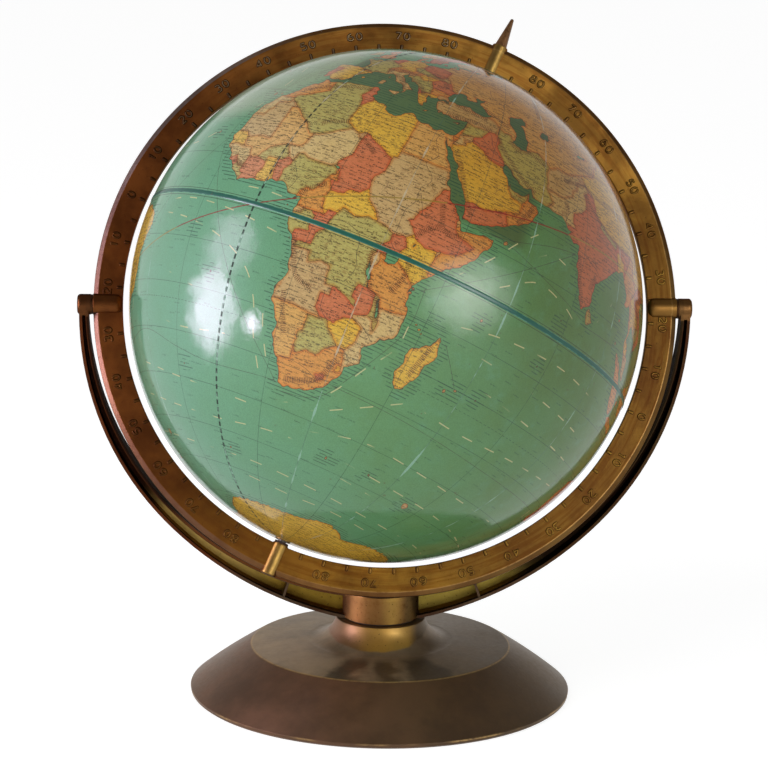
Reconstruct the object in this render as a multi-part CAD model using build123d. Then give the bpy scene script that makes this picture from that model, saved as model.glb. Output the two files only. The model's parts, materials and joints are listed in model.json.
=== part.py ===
from build123d import *
import os
from math import asin, cos, degrees, radians, sin, sqrt

# A desktop globe: a ball that spins between the poles of a full meridian ring. The ring tilts on
# two pivots in an open half-ring cradle, and the cradle swivels on a round, spun metal base.
# Millimetres. The origin is the centre of the base's underside, +Z is up, +X runs along the ring's
# tilting axis, and the front of the cradle's open channel faces -Y.

# Ball and the directions of its axes
BALL_RADIUS = 152.4
PIVOT_HEIGHT = 237.0
RING_TILT = -21.0
AXIS_TILT = 23.5
GLOBE_SPIN = -124.4

# Board shell, paper skin and the fittings inside the ball
PAPER_THICKNESS = 0.25
PASTE_GAP = 0.05
BOARD_THICKNESS = 3.0
HALF_JOINT_GAP = 0.05
TAPE_HALF_WIDTH = 2.3
TAPE_EDGE_GAP = 0.05
GORES_PER_HALF = 12
GORE_GAP = 0.04
HOOP_HALF_HEIGHT = 9.0
HOOP_THICKNESS = 2.4
HOOP_GAP = 0.2
FERRULE_BORE_RADIUS = 2.45
FERRULE_RADIUS = 4.0
FERRULE_LENGTH = 15.0
FERRULE_FLANGE_RADIUS = 4.7
FERRULE_FLANGE_THICKNESS = 0.6
POLE_HOLE_RADIUS = 4.1
SKIN_HOLE_RADIUS = 4.9

# Meridian ring with its pole barrels and pivot barrels
RING_INNER_RADIUS = 155.8
RING_OUTER_RADIUS = 173.2
RING_THICKNESS = 6.0
RING_BEVEL_WIDTH = 2.8
RING_BEVEL_DEPTH = 1.8
POLE_BARREL_RADIUS = 4.8
POLE_BARREL_START = 154.9
POLE_BARREL_END = 174.4
POLE_BARREL_ROUND = 0.8
POLE_PIN_RADIUS = 2.4
POLE_PIN_DEPTH = 12.0
POLE_WASHER_RADIUS = 4.2
POLE_WASHER_THICKNESS = 1.2
PUSH_FIT = 0.02
FINIAL_BASE_RADIUS = 3.7
FINIAL_TIP_RADIUS = 1.1
FINIAL_TOP = 193.2
PIVOT_BARREL_RADIUS = 6.4
PIVOT_BARREL_START = 156.0
PIVOT_BARREL_END = 173.4
PIVOT_BARREL_NOSE = 4.6
PIVOT_BORE_START = 158.0

# Pivot pins and washers
PIVOT_PIN_RADIUS = 2.5
PIVOT_PIN_START = 158.6
PIVOT_PIN_END = 182.2
PIVOT_PIN_ROUND = 0.5
RUNNING_FIT = 0.06
PIVOT_WASHER_RADIUS = 5.9
PIVOT_WASHER_START = 173.6
PIVOT_WASHER_END = 174.7

# Cradle: its outer edge is an upper arc about a point below the tilting axis, running tangentially
# into a flatter lower arc that meets the round collar
CRADLE_INNER_RADIUS = 176.0
CRADLE_UPPER_RADIUS = 181.5
CRADLE_UPPER_DROP = 4.4
CRADLE_LOWER_RADIUS = 211.5
CRADLE_BLEND_ANGLE = 44.0
CRADLE_TOP_HALF_DEPTH = 5.6
CRADLE_FOOT_HALF_DEPTH = 8.0
FLANGE_THICKNESS = 1.8
CHANNEL_TOP_DROP = 5.6
WEB_FRONT = 3.8
RIB_ANGLE = 18.5
RIB_THICKNESS = 1.4
RIB_SETBACK = 0.4
BOSS_RADIUS = 6.1
BOSS_START = 174.7
BOSS_END = 182.7
BOSS_ROUND = 2.0
COLLAR_RADIUS = 22.9
COLLAR_BOTTOM = 46.8
COLLAR_TOP = 66.0
COLLAR_DISH_RADIUS = 174.9
COLLAR_ROUND = 0.5

# Base: neck, gently falling inner disc, crease and sloping skirt with a turned-in rim
SEAM_HEIGHT = 46.0
NECK_RADIUS = 27.0
NECK_FLARE_MIDDLE = (31.2, 37.6)
NECK_FOOT = (44.0, 32.2)
CREASE = (78.3, 28.9)
SKIRT_FOOT = (115.0, 3.0)
SKIRT_BULGE = 0.8
RIM_MIDDLE = (114.75, 1.1)
RIM_RADIUS = 113.3
RIM_FLANGE_RADIUS = 103.0
SHEET_THICKNESS = 1.6
NECK_CAP_BOTTOM = 42.0
NECK_BORE_RADIUS = 23.0
BOARD_RADIUS = 108.4
BOARD_BOTTOM = 1.7
BOARD_TOP = 4.7

# Swivel bolt and its washers
BOLT_RADIUS = 4.0
BOLT_TOP = 58.0
BOLT_HEAD_ACROSS_FLATS = 13.0
BOLT_HEAD_HEIGHT = 5.3
SPRING_WASHER_RADIUS = 6.8
SPRING_WASHER_HEIGHT = 2.0
SPRING_WASHER_SLIT = 1.2
FLAT_WASHER_RADIUS = 12.0
FLAT_WASHER_HEIGHT = 1.6
STACK_GAP = 0.2
SEAM_WASHER_RADIUS = 21.6
SEAM_WASHER_THICKNESS = 0.6

SKIN_INNER_RADIUS = BALL_RADIUS - PAPER_THICKNESS
BOARD_OUTER_RADIUS = SKIN_INNER_RADIUS - PASTE_GAP
BOARD_INNER_RADIUS = BOARD_OUTER_RADIUS - BOARD_THICKNESS


def in_ring_frame(shape):
    """Place a shape drawn about the ring's centre, with the ring upright, at its photographed lean."""
    return Pos(0, 0, PIVOT_HEIGHT) * Rot(RING_TILT, 0, 0) * shape


def in_pole_frame(shape):
    """Place a shape drawn along +Z from the ball's centre on the slanted pole axis."""
    return in_ring_frame(Rot(0, AXIS_TILT, 0) * shape)


def tube_along_z(outer_radius, inner_radius, bottom, top):
    """A plain tube about Z between two heights."""
    height = top - bottom
    outer = Cylinder(outer_radius, height, align=(Align.CENTER, Align.CENTER, Align.MIN))
    inner = Cylinder(inner_radius, height, align=(Align.CENTER, Align.CENTER, Align.MIN))
    return Pos(0, 0, bottom) * (outer - inner)


def rod_along_z(radius, bottom, top):
    """A plain rod about Z between two heights."""
    return Pos(0, 0, bottom) * Cylinder(radius, top - bottom, align=(Align.CENTER, Align.CENTER, Align.MIN))


def along_x(shape, side):
    """Turn a shape drawn up +Z to lie along +X, or along -X for the left side."""
    return Rot(0, 90 * side, 0) * shape


def sphere_band_profile(inner_radius, outer_radius, low_latitude, hole_radius):
    """Half section of a spherical skin from a low latitude up to a round hole at the pole."""
    high_inner = degrees(asin(sqrt(1 - (hole_radius / inner_radius) ** 2)))
    high_outer = degrees(asin(sqrt(1 - (hole_radius / outer_radius) ** 2)))

    def at(radius, latitude):
        return (radius * cos(radians(latitude)), radius * sin(radians(latitude)))

    middle = (low_latitude + high_outer) / 2
    lines = Curve() + [
        ThreePointArc(at(outer_radius, low_latitude), at(outer_radius, middle), at(outer_radius, high_outer)),
        Line(at(outer_radius, high_outer), at(inner_radius, high_inner)),
        ThreePointArc(at(inner_radius, high_inner), at(inner_radius, middle), at(inner_radius, low_latitude)),
        Line(at(inner_radius, low_latitude), at(outer_radius, low_latitude)),
    ]
    return Plane.XZ * make_face(lines)


def flip_to_south(shape):
    """Turn a northern piece over to the south pole, half a turn about X."""
    return Rot(180, 0, 0) * shape


def make_hemisphere():
    """Pressed board half of the ball, with a hole for the pole ferrule."""
    joint_latitude = degrees(asin(HALF_JOINT_GAP / BOARD_OUTER_RADIUS))
    profile = sphere_band_profile(BOARD_INNER_RADIUS, BOARD_OUTER_RADIUS, joint_latitude, POLE_HOLE_RADIUS)
    return revolve(profile, Axis.Z)


def make_gores():
    """Twelve paper gores of one half of the ball, from the equator tape to the pole."""
    tape_edge = TAPE_HALF_WIDTH + TAPE_EDGE_GAP
    low_latitude = degrees(asin(tape_edge / SKIN_INNER_RADIUS))
    profile = sphere_band_profile(SKIN_INNER_RADIUS, BALL_RADIUS, low_latitude, SKIN_HOLE_RADIUS)
    step = 360 / GORES_PER_HALF
    gore = revolve(profile, Axis.Z, step - GORE_GAP)
    return [Rot(0, 0, step * number) * gore for number in range(GORES_PER_HALF)]


def make_ferrule():
    """Flanged metal eyelet that lines the pole hole and runs on the pole pin."""
    flange_bottom = BOARD_OUTER_RADIUS
    flange_top = flange_bottom + FERRULE_FLANGE_THICKNESS
    barrel = tube_along_z(FERRULE_RADIUS, FERRULE_BORE_RADIUS, flange_top - FERRULE_LENGTH, flange_top)
    flange = tube_along_z(FERRULE_FLANGE_RADIUS, FERRULE_BORE_RADIUS, flange_bottom, flange_top)
    return barrel + flange


def make_pole_washer():
    """Fibre washer against the inner end of a pole barrel, which the ball turns on."""
    bottom = POLE_BARREL_START - POLE_WASHER_THICKNESS
    return tube_along_z(POLE_WASHER_RADIUS, POLE_PIN_RADIUS + PUSH_FIT, bottom, POLE_BARREL_START)


def make_equator_tape():
    """Paper tape over the joint of the two halves."""
    outer = sqrt(BALL_RADIUS ** 2 - TAPE_HALF_WIDTH ** 2)
    return tube_along_z(outer, SKIN_INNER_RADIUS, -TAPE_HALF_WIDTH, TAPE_HALF_WIDTH)


def make_joining_hoop():
    """Board hoop glued inside the ball across the joint of the two halves."""
    outer = sqrt(BOARD_INNER_RADIUS ** 2 - HOOP_HALF_HEIGHT ** 2) - HOOP_GAP
    return tube_along_z(outer, outer - HOOP_THICKNESS, -HOOP_HALF_HEIGHT, HOOP_HALF_HEIGHT)


def make_meridian_ring():
    """Flat cast ring with bevelled outer edges, two pole barrels and two pivot barrels."""
    half = RING_THICKNESS / 2
    bevel_start = RING_OUTER_RADIUS - RING_BEVEL_WIDTH
    bevel_half = half - RING_BEVEL_DEPTH
    section = Polyline(
        (RING_INNER_RADIUS, -half), (bevel_start, -half), (RING_OUTER_RADIUS, -bevel_half),
        (RING_OUTER_RADIUS, bevel_half), (bevel_start, half), (RING_INNER_RADIUS, half), close=True)
    ring = revolve(make_face(section), Axis.Y)

    pole_barrel = rod_along_z(POLE_BARREL_RADIUS, POLE_BARREL_START, POLE_BARREL_END)
    pole_barrel = fillet(pole_barrel.edges().filter_by(GeomType.CIRCLE), POLE_BARREL_ROUND)
    pole_bore = rod_along_z(POLE_PIN_RADIUS + PUSH_FIT, POLE_BARREL_START, POLE_BARREL_END)
    pivot_barrel = rod_along_z(PIVOT_BARREL_RADIUS, PIVOT_BARREL_START, PIVOT_BARREL_END)
    pivot_barrel = fillet(pivot_barrel.edges().sort_by(Axis.Z)[:1], PIVOT_BARREL_NOSE)
    pivot_bore = rod_along_z(PIVOT_PIN_RADIUS + RUNNING_FIT, PIVOT_BORE_START, PIVOT_BARREL_END)

    for pole in (AXIS_TILT, AXIS_TILT + 180):
        ring += Rot(0, pole, 0) * pole_barrel
    for side in (1, -1):
        ring += along_x(pivot_barrel, side)
    for pole in (AXIS_TILT, AXIS_TILT + 180):
        ring -= Rot(0, pole, 0) * pole_bore
    for side in (1, -1):
        ring -= along_x(pivot_bore, side)
    return ring


def make_finial():
    """Turned spike over the north pole, with the shank that the ball spins on."""
    cone = make_face(Curve() + [
        Line((0, POLE_BARREL_END), (FINIAL_BASE_RADIUS, POLE_BARREL_END)),
        Line((FINIAL_BASE_RADIUS, POLE_BARREL_END), (FINIAL_TIP_RADIUS, FINIAL_TOP - FINIAL_TIP_RADIUS)),
        ThreePointArc(
            (FINIAL_TIP_RADIUS, FINIAL_TOP - FINIAL_TIP_RADIUS),
            (FINIAL_TIP_RADIUS * cos(radians(50)), FINIAL_TOP - FINIAL_TIP_RADIUS * (1 - sin(radians(50)))),
            (0, FINIAL_TOP)),
        Line((0, FINIAL_TOP), (0, POLE_BARREL_END)),
    ])
    shank = rod_along_z(POLE_PIN_RADIUS, BALL_RADIUS - POLE_PIN_DEPTH, POLE_BARREL_END)
    return revolve(Plane.XZ * cone, Axis.Z) + shank


def make_south_pin():
    """Plain pin in the south barrel, drawn towards +Z."""
    return rod_along_z(POLE_PIN_RADIUS, BALL_RADIUS - POLE_PIN_DEPTH, POLE_BARREL_END)


def make_pivot_pin():
    """Steel pin driven through a cradle boss into the ring's pivot barrel, drawn towards +Z."""
    pin = rod_along_z(PIVOT_PIN_RADIUS, PIVOT_PIN_START, PIVOT_PIN_END)
    return fillet(pin.edges().filter_by(GeomType.CIRCLE), PIVOT_PIN_ROUND)


def make_pivot_washer():
    """Spacing washer on a pivot pin, between the ring and a cradle boss, drawn towards +Z."""
    bore = PIVOT_PIN_RADIUS + RUNNING_FIT
    return tube_along_z(PIVOT_WASHER_RADIUS, bore, PIVOT_WASHER_START, PIVOT_WASHER_END)


def cradle_outline(inset):
    """Right half of the cradle's band in x and z about the tilting axis, drawn inset from its edges."""
    blend = radians(CRADLE_BLEND_ANGLE)
    upper = CRADLE_UPPER_RADIUS - inset
    lower = CRADLE_LOWER_RADIUS - inset
    inner = CRADLE_INNER_RADIUS + inset
    spread = CRADLE_LOWER_RADIUS - CRADLE_UPPER_RADIUS
    lower_centre = (-spread * cos(blend), spread * sin(blend) - CRADLE_UPPER_DROP)

    def on_upper(angle):
        return (upper * cos(angle), -CRADLE_UPPER_DROP - upper * sin(angle))

    def on_lower(x):
        return (x, lower_centre[1] - sqrt(lower ** 2 - (x - lower_centre[0]) ** 2))

    def on_inner(angle):
        return (inner * cos(angle), -inner * sin(angle))

    top_drop = CHANNEL_TOP_DROP if inset else 0.0
    top_outer = on_upper(asin((top_drop - CRADLE_UPPER_DROP) / upper))
    joint = on_upper(blend)
    foot_outer = on_lower(0)
    top_inner = on_inner(asin(top_drop / inner))
    foot_inner = on_inner(radians(90))
    return make_face(Curve() + [
        ThreePointArc(top_outer, on_upper(blend / 2), joint),
        ThreePointArc(joint, on_lower(joint[0] / 2), foot_outer),
        Line(foot_outer, foot_inner),
        ThreePointArc(foot_inner, on_inner(radians(50)), top_inner),
        Line(top_inner, top_outer),
    ])


def make_cradle():
    """Cast half-ring: channel section open to the front, a rib each side, two bosses and a collar.

    The collar's top is dished about the tilting axis, so that the ring swings clear of it.
    """
    band_depth = 2 * CRADLE_FOOT_HALF_DEPTH + 2
    half_band = extrude(Plane.XZ * cradle_outline(0), band_depth / 2, both=True)
    foot_drop = PIVOT_HEIGHT - COLLAR_BOTTOM
    taper = Polyline(
        (-CRADLE_TOP_HALF_DEPTH, 0), (CRADLE_TOP_HALF_DEPTH, 0),
        (CRADLE_FOOT_HALF_DEPTH, -foot_drop), (-CRADLE_FOOT_HALF_DEPTH, -foot_drop), close=True)
    half_band = half_band & extrude(Plane.YZ * make_face(taper), 2 * CRADLE_UPPER_RADIUS)

    channel = extrude(Plane.XZ.offset(-WEB_FRONT) * cradle_outline(FLANGE_THICKNESS), band_depth)
    rib_depth = CRADLE_FOOT_HALF_DEPTH + WEB_FRONT
    rib = Pos(0, WEB_FRONT, 0) * Rot(0, -RIB_ANGLE, 0) * Box(
        RIB_THICKNESS, rib_depth - 2 * RIB_SETBACK, CRADLE_LOWER_RADIUS,
        align=(Align.CENTER, Align.MAX, Align.MAX))
    half_band = half_band - (channel - rib)
    boss = rod_along_z(BOSS_RADIUS, BOSS_START, BOSS_END)
    boss = fillet(boss.edges().sort_by(Axis.Z)[-1:], BOSS_ROUND)
    collar = rod_along_z(COLLAR_RADIUS, COLLAR_BOTTOM, COLLAR_TOP)
    collar -= Pos(0, 0, PIVOT_HEIGHT) * Sphere(COLLAR_DISH_RADIUS)
    collar = fillet(collar.edges().sort_by(Axis.Z)[-1:], COLLAR_ROUND)

    frame = half_band + mirror(half_band, Plane.YZ)
    for side in (1, -1):
        frame += along_x(boss, side)
    frame = Pos(0, 0, PIVOT_HEIGHT) * frame + collar
    for side in (1, -1):
        bore = rod_along_z(PIVOT_PIN_RADIUS + PUSH_FIT, BOSS_START - 1, BOSS_END + 1)
        frame -= Pos(0, 0, PIVOT_HEIGHT) * along_x(bore, side)
    return frame - rod_along_z(BOLT_RADIUS + PUSH_FIT, COLLAR_BOTTOM, BOLT_TOP)


def make_base_dish():
    """Spun metal shell: neck with a bolt hole, inner disc, crease, skirt and a rim turned in flat."""
    skirt_run = (SKIRT_FOOT[0] - CREASE[0], SKIRT_FOOT[1] - CREASE[1])
    skirt_length = sqrt(skirt_run[0] ** 2 + skirt_run[1] ** 2)
    outward = (-skirt_run[1] / skirt_length, skirt_run[0] / skirt_length)
    skirt_middle = (
        (CREASE[0] + SKIRT_FOOT[0]) / 2 + SKIRT_BULGE * outward[0],
        (CREASE[1] + SKIRT_FOOT[1]) / 2 + SKIRT_BULGE * outward[1])
    outside = make_face(Curve() + [
        Line((0, 0), (RIM_RADIUS, 0)),
        ThreePointArc((RIM_RADIUS, 0), RIM_MIDDLE, SKIRT_FOOT),
        ThreePointArc(SKIRT_FOOT, skirt_middle, CREASE),
        Line(CREASE, NECK_FOOT),
        ThreePointArc(NECK_FOOT, NECK_FLARE_MIDDLE, (NECK_RADIUS, SEAM_HEIGHT)),
        Line((NECK_RADIUS, SEAM_HEIGHT), (0, SEAM_HEIGHT)),
        Line((0, SEAM_HEIGHT), (0, 0)),
    ])
    wall_radius = SKIRT_FOOT[0] - 1.9 * SHEET_THICKNESS
    hollow = Polyline(
        (0, -1), (RIM_FLANGE_RADIUS, -1), (RIM_FLANGE_RADIUS, SHEET_THICKNESS),
        (wall_radius, SHEET_THICKNESS), (wall_radius, SKIRT_FOOT[1]),
        (CREASE[0] - 0.7 * SHEET_THICKNESS, CREASE[1] - SHEET_THICKNESS),
        (NECK_FOOT[0] - 2, NECK_FOOT[1] - SHEET_THICKNESS), (NECK_FLARE_MIDDLE[0] - 2.2, NECK_FOOT[1]),
        (NECK_BORE_RADIUS, NECK_CAP_BOTTOM), (0, NECK_CAP_BOTTOM), close=True)
    dish = revolve(Plane.XZ * outside, Axis.Z) - revolve(Plane.XZ * make_face(hollow), Axis.Z)
    return dish - rod_along_z(BOLT_RADIUS + RUNNING_FIT, NECK_CAP_BOTTOM - 1, SEAM_HEIGHT + 1)


def make_swivel_stack():
    """Bolt screwed up into the collar, with the washers that let the cradle swivel on the neck."""
    flat_top = NECK_CAP_BOTTOM - STACK_GAP
    flat_bottom = flat_top - FLAT_WASHER_HEIGHT
    spring_bottom = flat_bottom - SPRING_WASHER_HEIGHT
    head_bottom = spring_bottom - BOLT_HEAD_HEIGHT
    clear_radius = BOLT_RADIUS + RUNNING_FIT

    head = extrude(RegularPolygon(BOLT_HEAD_ACROSS_FLATS / 2, 6, major_radius=False), BOLT_HEAD_HEIGHT)
    bolt = Pos(0, 0, head_bottom) * head + rod_along_z(BOLT_RADIUS, spring_bottom, BOLT_TOP)
    spring = tube_along_z(SPRING_WASHER_RADIUS, clear_radius, spring_bottom, flat_bottom)
    slit = Box(SPRING_WASHER_RADIUS + 1, SPRING_WASHER_SLIT, 3 * SPRING_WASHER_HEIGHT,
               align=(Align.MIN, Align.CENTER, Align.CENTER))
    spring -= Pos(0, 0, spring_bottom) * slit
    flat = tube_along_z(FLAT_WASHER_RADIUS, clear_radius, flat_bottom, flat_top)
    return bolt, spring, flat


def make_seam_washer():
    """Fibre washer in the seam between the neck and the collar."""
    seam_top = SEAM_HEIGHT + SEAM_WASHER_THICKNESS
    return tube_along_z(SEAM_WASHER_RADIUS, BOLT_RADIUS + RUNNING_FIT, SEAM_HEIGHT, seam_top)


def make_bottom_board():
    """Hardboard disc held in the base by the turned-in rim."""
    return rod_along_z(BOARD_RADIUS, BOARD_BOTTOM, BOARD_TOP)


def build_pieces():
    """Every piece of the globe by its name, in place."""
    hemisphere = make_hemisphere()
    ferrule = make_ferrule()
    pole_washer = make_pole_washer()
    gores = [Rot(0, 0, GLOBE_SPIN) * gore for gore in make_gores()]
    south_gores = [flip_to_south(Rot(0, 0, -GLOBE_SPIN) * gore) for gore in make_gores()]
    swivel_bolt, spring_washer, flat_washer = make_swivel_stack()
    pieces = {
        "base_dish": make_base_dish(),
        "base_bottom_board": make_bottom_board(),
        "seam_washer": make_seam_washer(),
        "cradle_frame": make_cradle(),
        "swivel_bolt": swivel_bolt,
        "swivel_spring_washer": spring_washer,
        "swivel_flat_washer": flat_washer,
        "meridian_ring": in_ring_frame(make_meridian_ring()),
        "north_pole_finial": in_pole_frame(make_finial()),
        "south_pole_pin": in_pole_frame(flip_to_south(make_south_pin())),
        "north_pole_washer": in_pole_frame(pole_washer),
        "south_pole_washer": in_pole_frame(flip_to_south(pole_washer)),
        "north_hemisphere": in_pole_frame(hemisphere),
        "south_hemisphere": in_pole_frame(flip_to_south(hemisphere)),
        "joining_hoop": in_pole_frame(make_joining_hoop()),
        "north_pole_ferrule": in_pole_frame(ferrule),
        "south_pole_ferrule": in_pole_frame(flip_to_south(ferrule)),
        "equator_tape": in_pole_frame(make_equator_tape()),
        "map_gores_north": Compound(children=[in_pole_frame(gore) for gore in gores]),
        "map_gores_south": Compound(children=[in_pole_frame(gore) for gore in south_gores]),
    }
    for name, side in (("right", 1), ("left", -1)):
        pieces["pivot_pin_" + name] = Pos(0, 0, PIVOT_HEIGHT) * along_x(make_pivot_pin(), side)
        pieces["pivot_washer_" + name] = Pos(0, 0, PIVOT_HEIGHT) * along_x(make_pivot_washer(), side)
    return pieces


os.makedirs("parts", exist_ok=True)
for name, piece in build_pieces().items():
    export_step(piece, "parts/" + name + ".step")
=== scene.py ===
import json
from functools import reduce
from itertools import product
from math import cos, degrees, pi, radians, sin

import bmesh
import bpy
import numpy as np
from mathutils import Matrix, Vector


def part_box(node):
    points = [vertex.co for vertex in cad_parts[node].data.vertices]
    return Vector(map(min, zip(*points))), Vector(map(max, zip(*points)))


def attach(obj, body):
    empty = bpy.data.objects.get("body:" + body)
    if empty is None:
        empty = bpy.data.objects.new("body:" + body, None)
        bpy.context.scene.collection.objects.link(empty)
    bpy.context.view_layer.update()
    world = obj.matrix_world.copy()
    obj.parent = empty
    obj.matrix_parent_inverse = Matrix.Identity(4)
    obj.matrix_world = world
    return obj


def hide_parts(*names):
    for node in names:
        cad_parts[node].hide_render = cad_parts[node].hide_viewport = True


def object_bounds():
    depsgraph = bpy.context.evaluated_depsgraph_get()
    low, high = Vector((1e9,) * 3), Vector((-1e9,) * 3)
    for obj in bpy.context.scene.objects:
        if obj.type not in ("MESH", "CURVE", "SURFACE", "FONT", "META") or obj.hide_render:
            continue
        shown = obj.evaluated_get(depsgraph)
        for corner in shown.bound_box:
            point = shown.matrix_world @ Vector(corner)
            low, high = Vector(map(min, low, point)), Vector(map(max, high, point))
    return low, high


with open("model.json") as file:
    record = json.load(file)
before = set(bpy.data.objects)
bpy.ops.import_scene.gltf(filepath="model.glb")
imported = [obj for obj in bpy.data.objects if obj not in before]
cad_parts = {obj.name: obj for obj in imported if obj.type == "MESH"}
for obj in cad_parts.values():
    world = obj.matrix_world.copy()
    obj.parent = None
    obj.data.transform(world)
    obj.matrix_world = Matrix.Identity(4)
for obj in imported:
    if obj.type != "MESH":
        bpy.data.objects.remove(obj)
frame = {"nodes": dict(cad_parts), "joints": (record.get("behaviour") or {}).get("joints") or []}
CAD_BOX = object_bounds()

bl_info = {
    "name": "Desktop globe on stand",
    "version": (1, 0, 0),
    "blender": (4, 5, 0),
    "location": "View3D > Sidebar > Globe",
    "description": "Builds the pieces and finishes of a desktop globe over its packed frame",
    "category": "Object",
}


def joint(name):
    """The frame's joint of that name."""
    return next(entry for entry in frame["joints"] if entry["name"] == name)


def unit(vectors):
    """Vectors scaled to length one, along the last axis."""
    vectors = np.asarray(vectors, float)
    return vectors / np.maximum(np.linalg.norm(vectors, axis=-1, keepdims=True), 1e-12)


# Directions of the ball and its ring, in metres and world axes
CENTRE = np.array(joint("ring_tilt")["pos_m"], float)
TILT_AXIS = unit(joint("ring_tilt")["axis"])
POLE = unit(joint("globe_spin")["axis"])
RING_BACK = unit(np.cross(POLE, TILT_AXIS))
RING_UP = np.cross(TILT_AXIS, RING_BACK)
POLE_SIDE = np.cross(RING_BACK, POLE)
POLE_ANGLE = float(np.arctan2(POLE @ TILT_AXIS, POLE @ RING_UP))
BALL_RADIUS = 0.5 * (CAD_BOX[1].y - CAD_BOX[0].y)
MM = 0.001
MM_PER_DEGREE = BALL_RADIUS / MM * pi / 180
# Latitude of the tropics in degrees
TROPIC = 23.45

# The eight printed land tints, in the order of their three tint bits
TINTS = ("yellow", "orange", "salmon", "olive", "tan", "beige", "amber", "rose")
TINT_BITS = (1, 2, 4)

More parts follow.
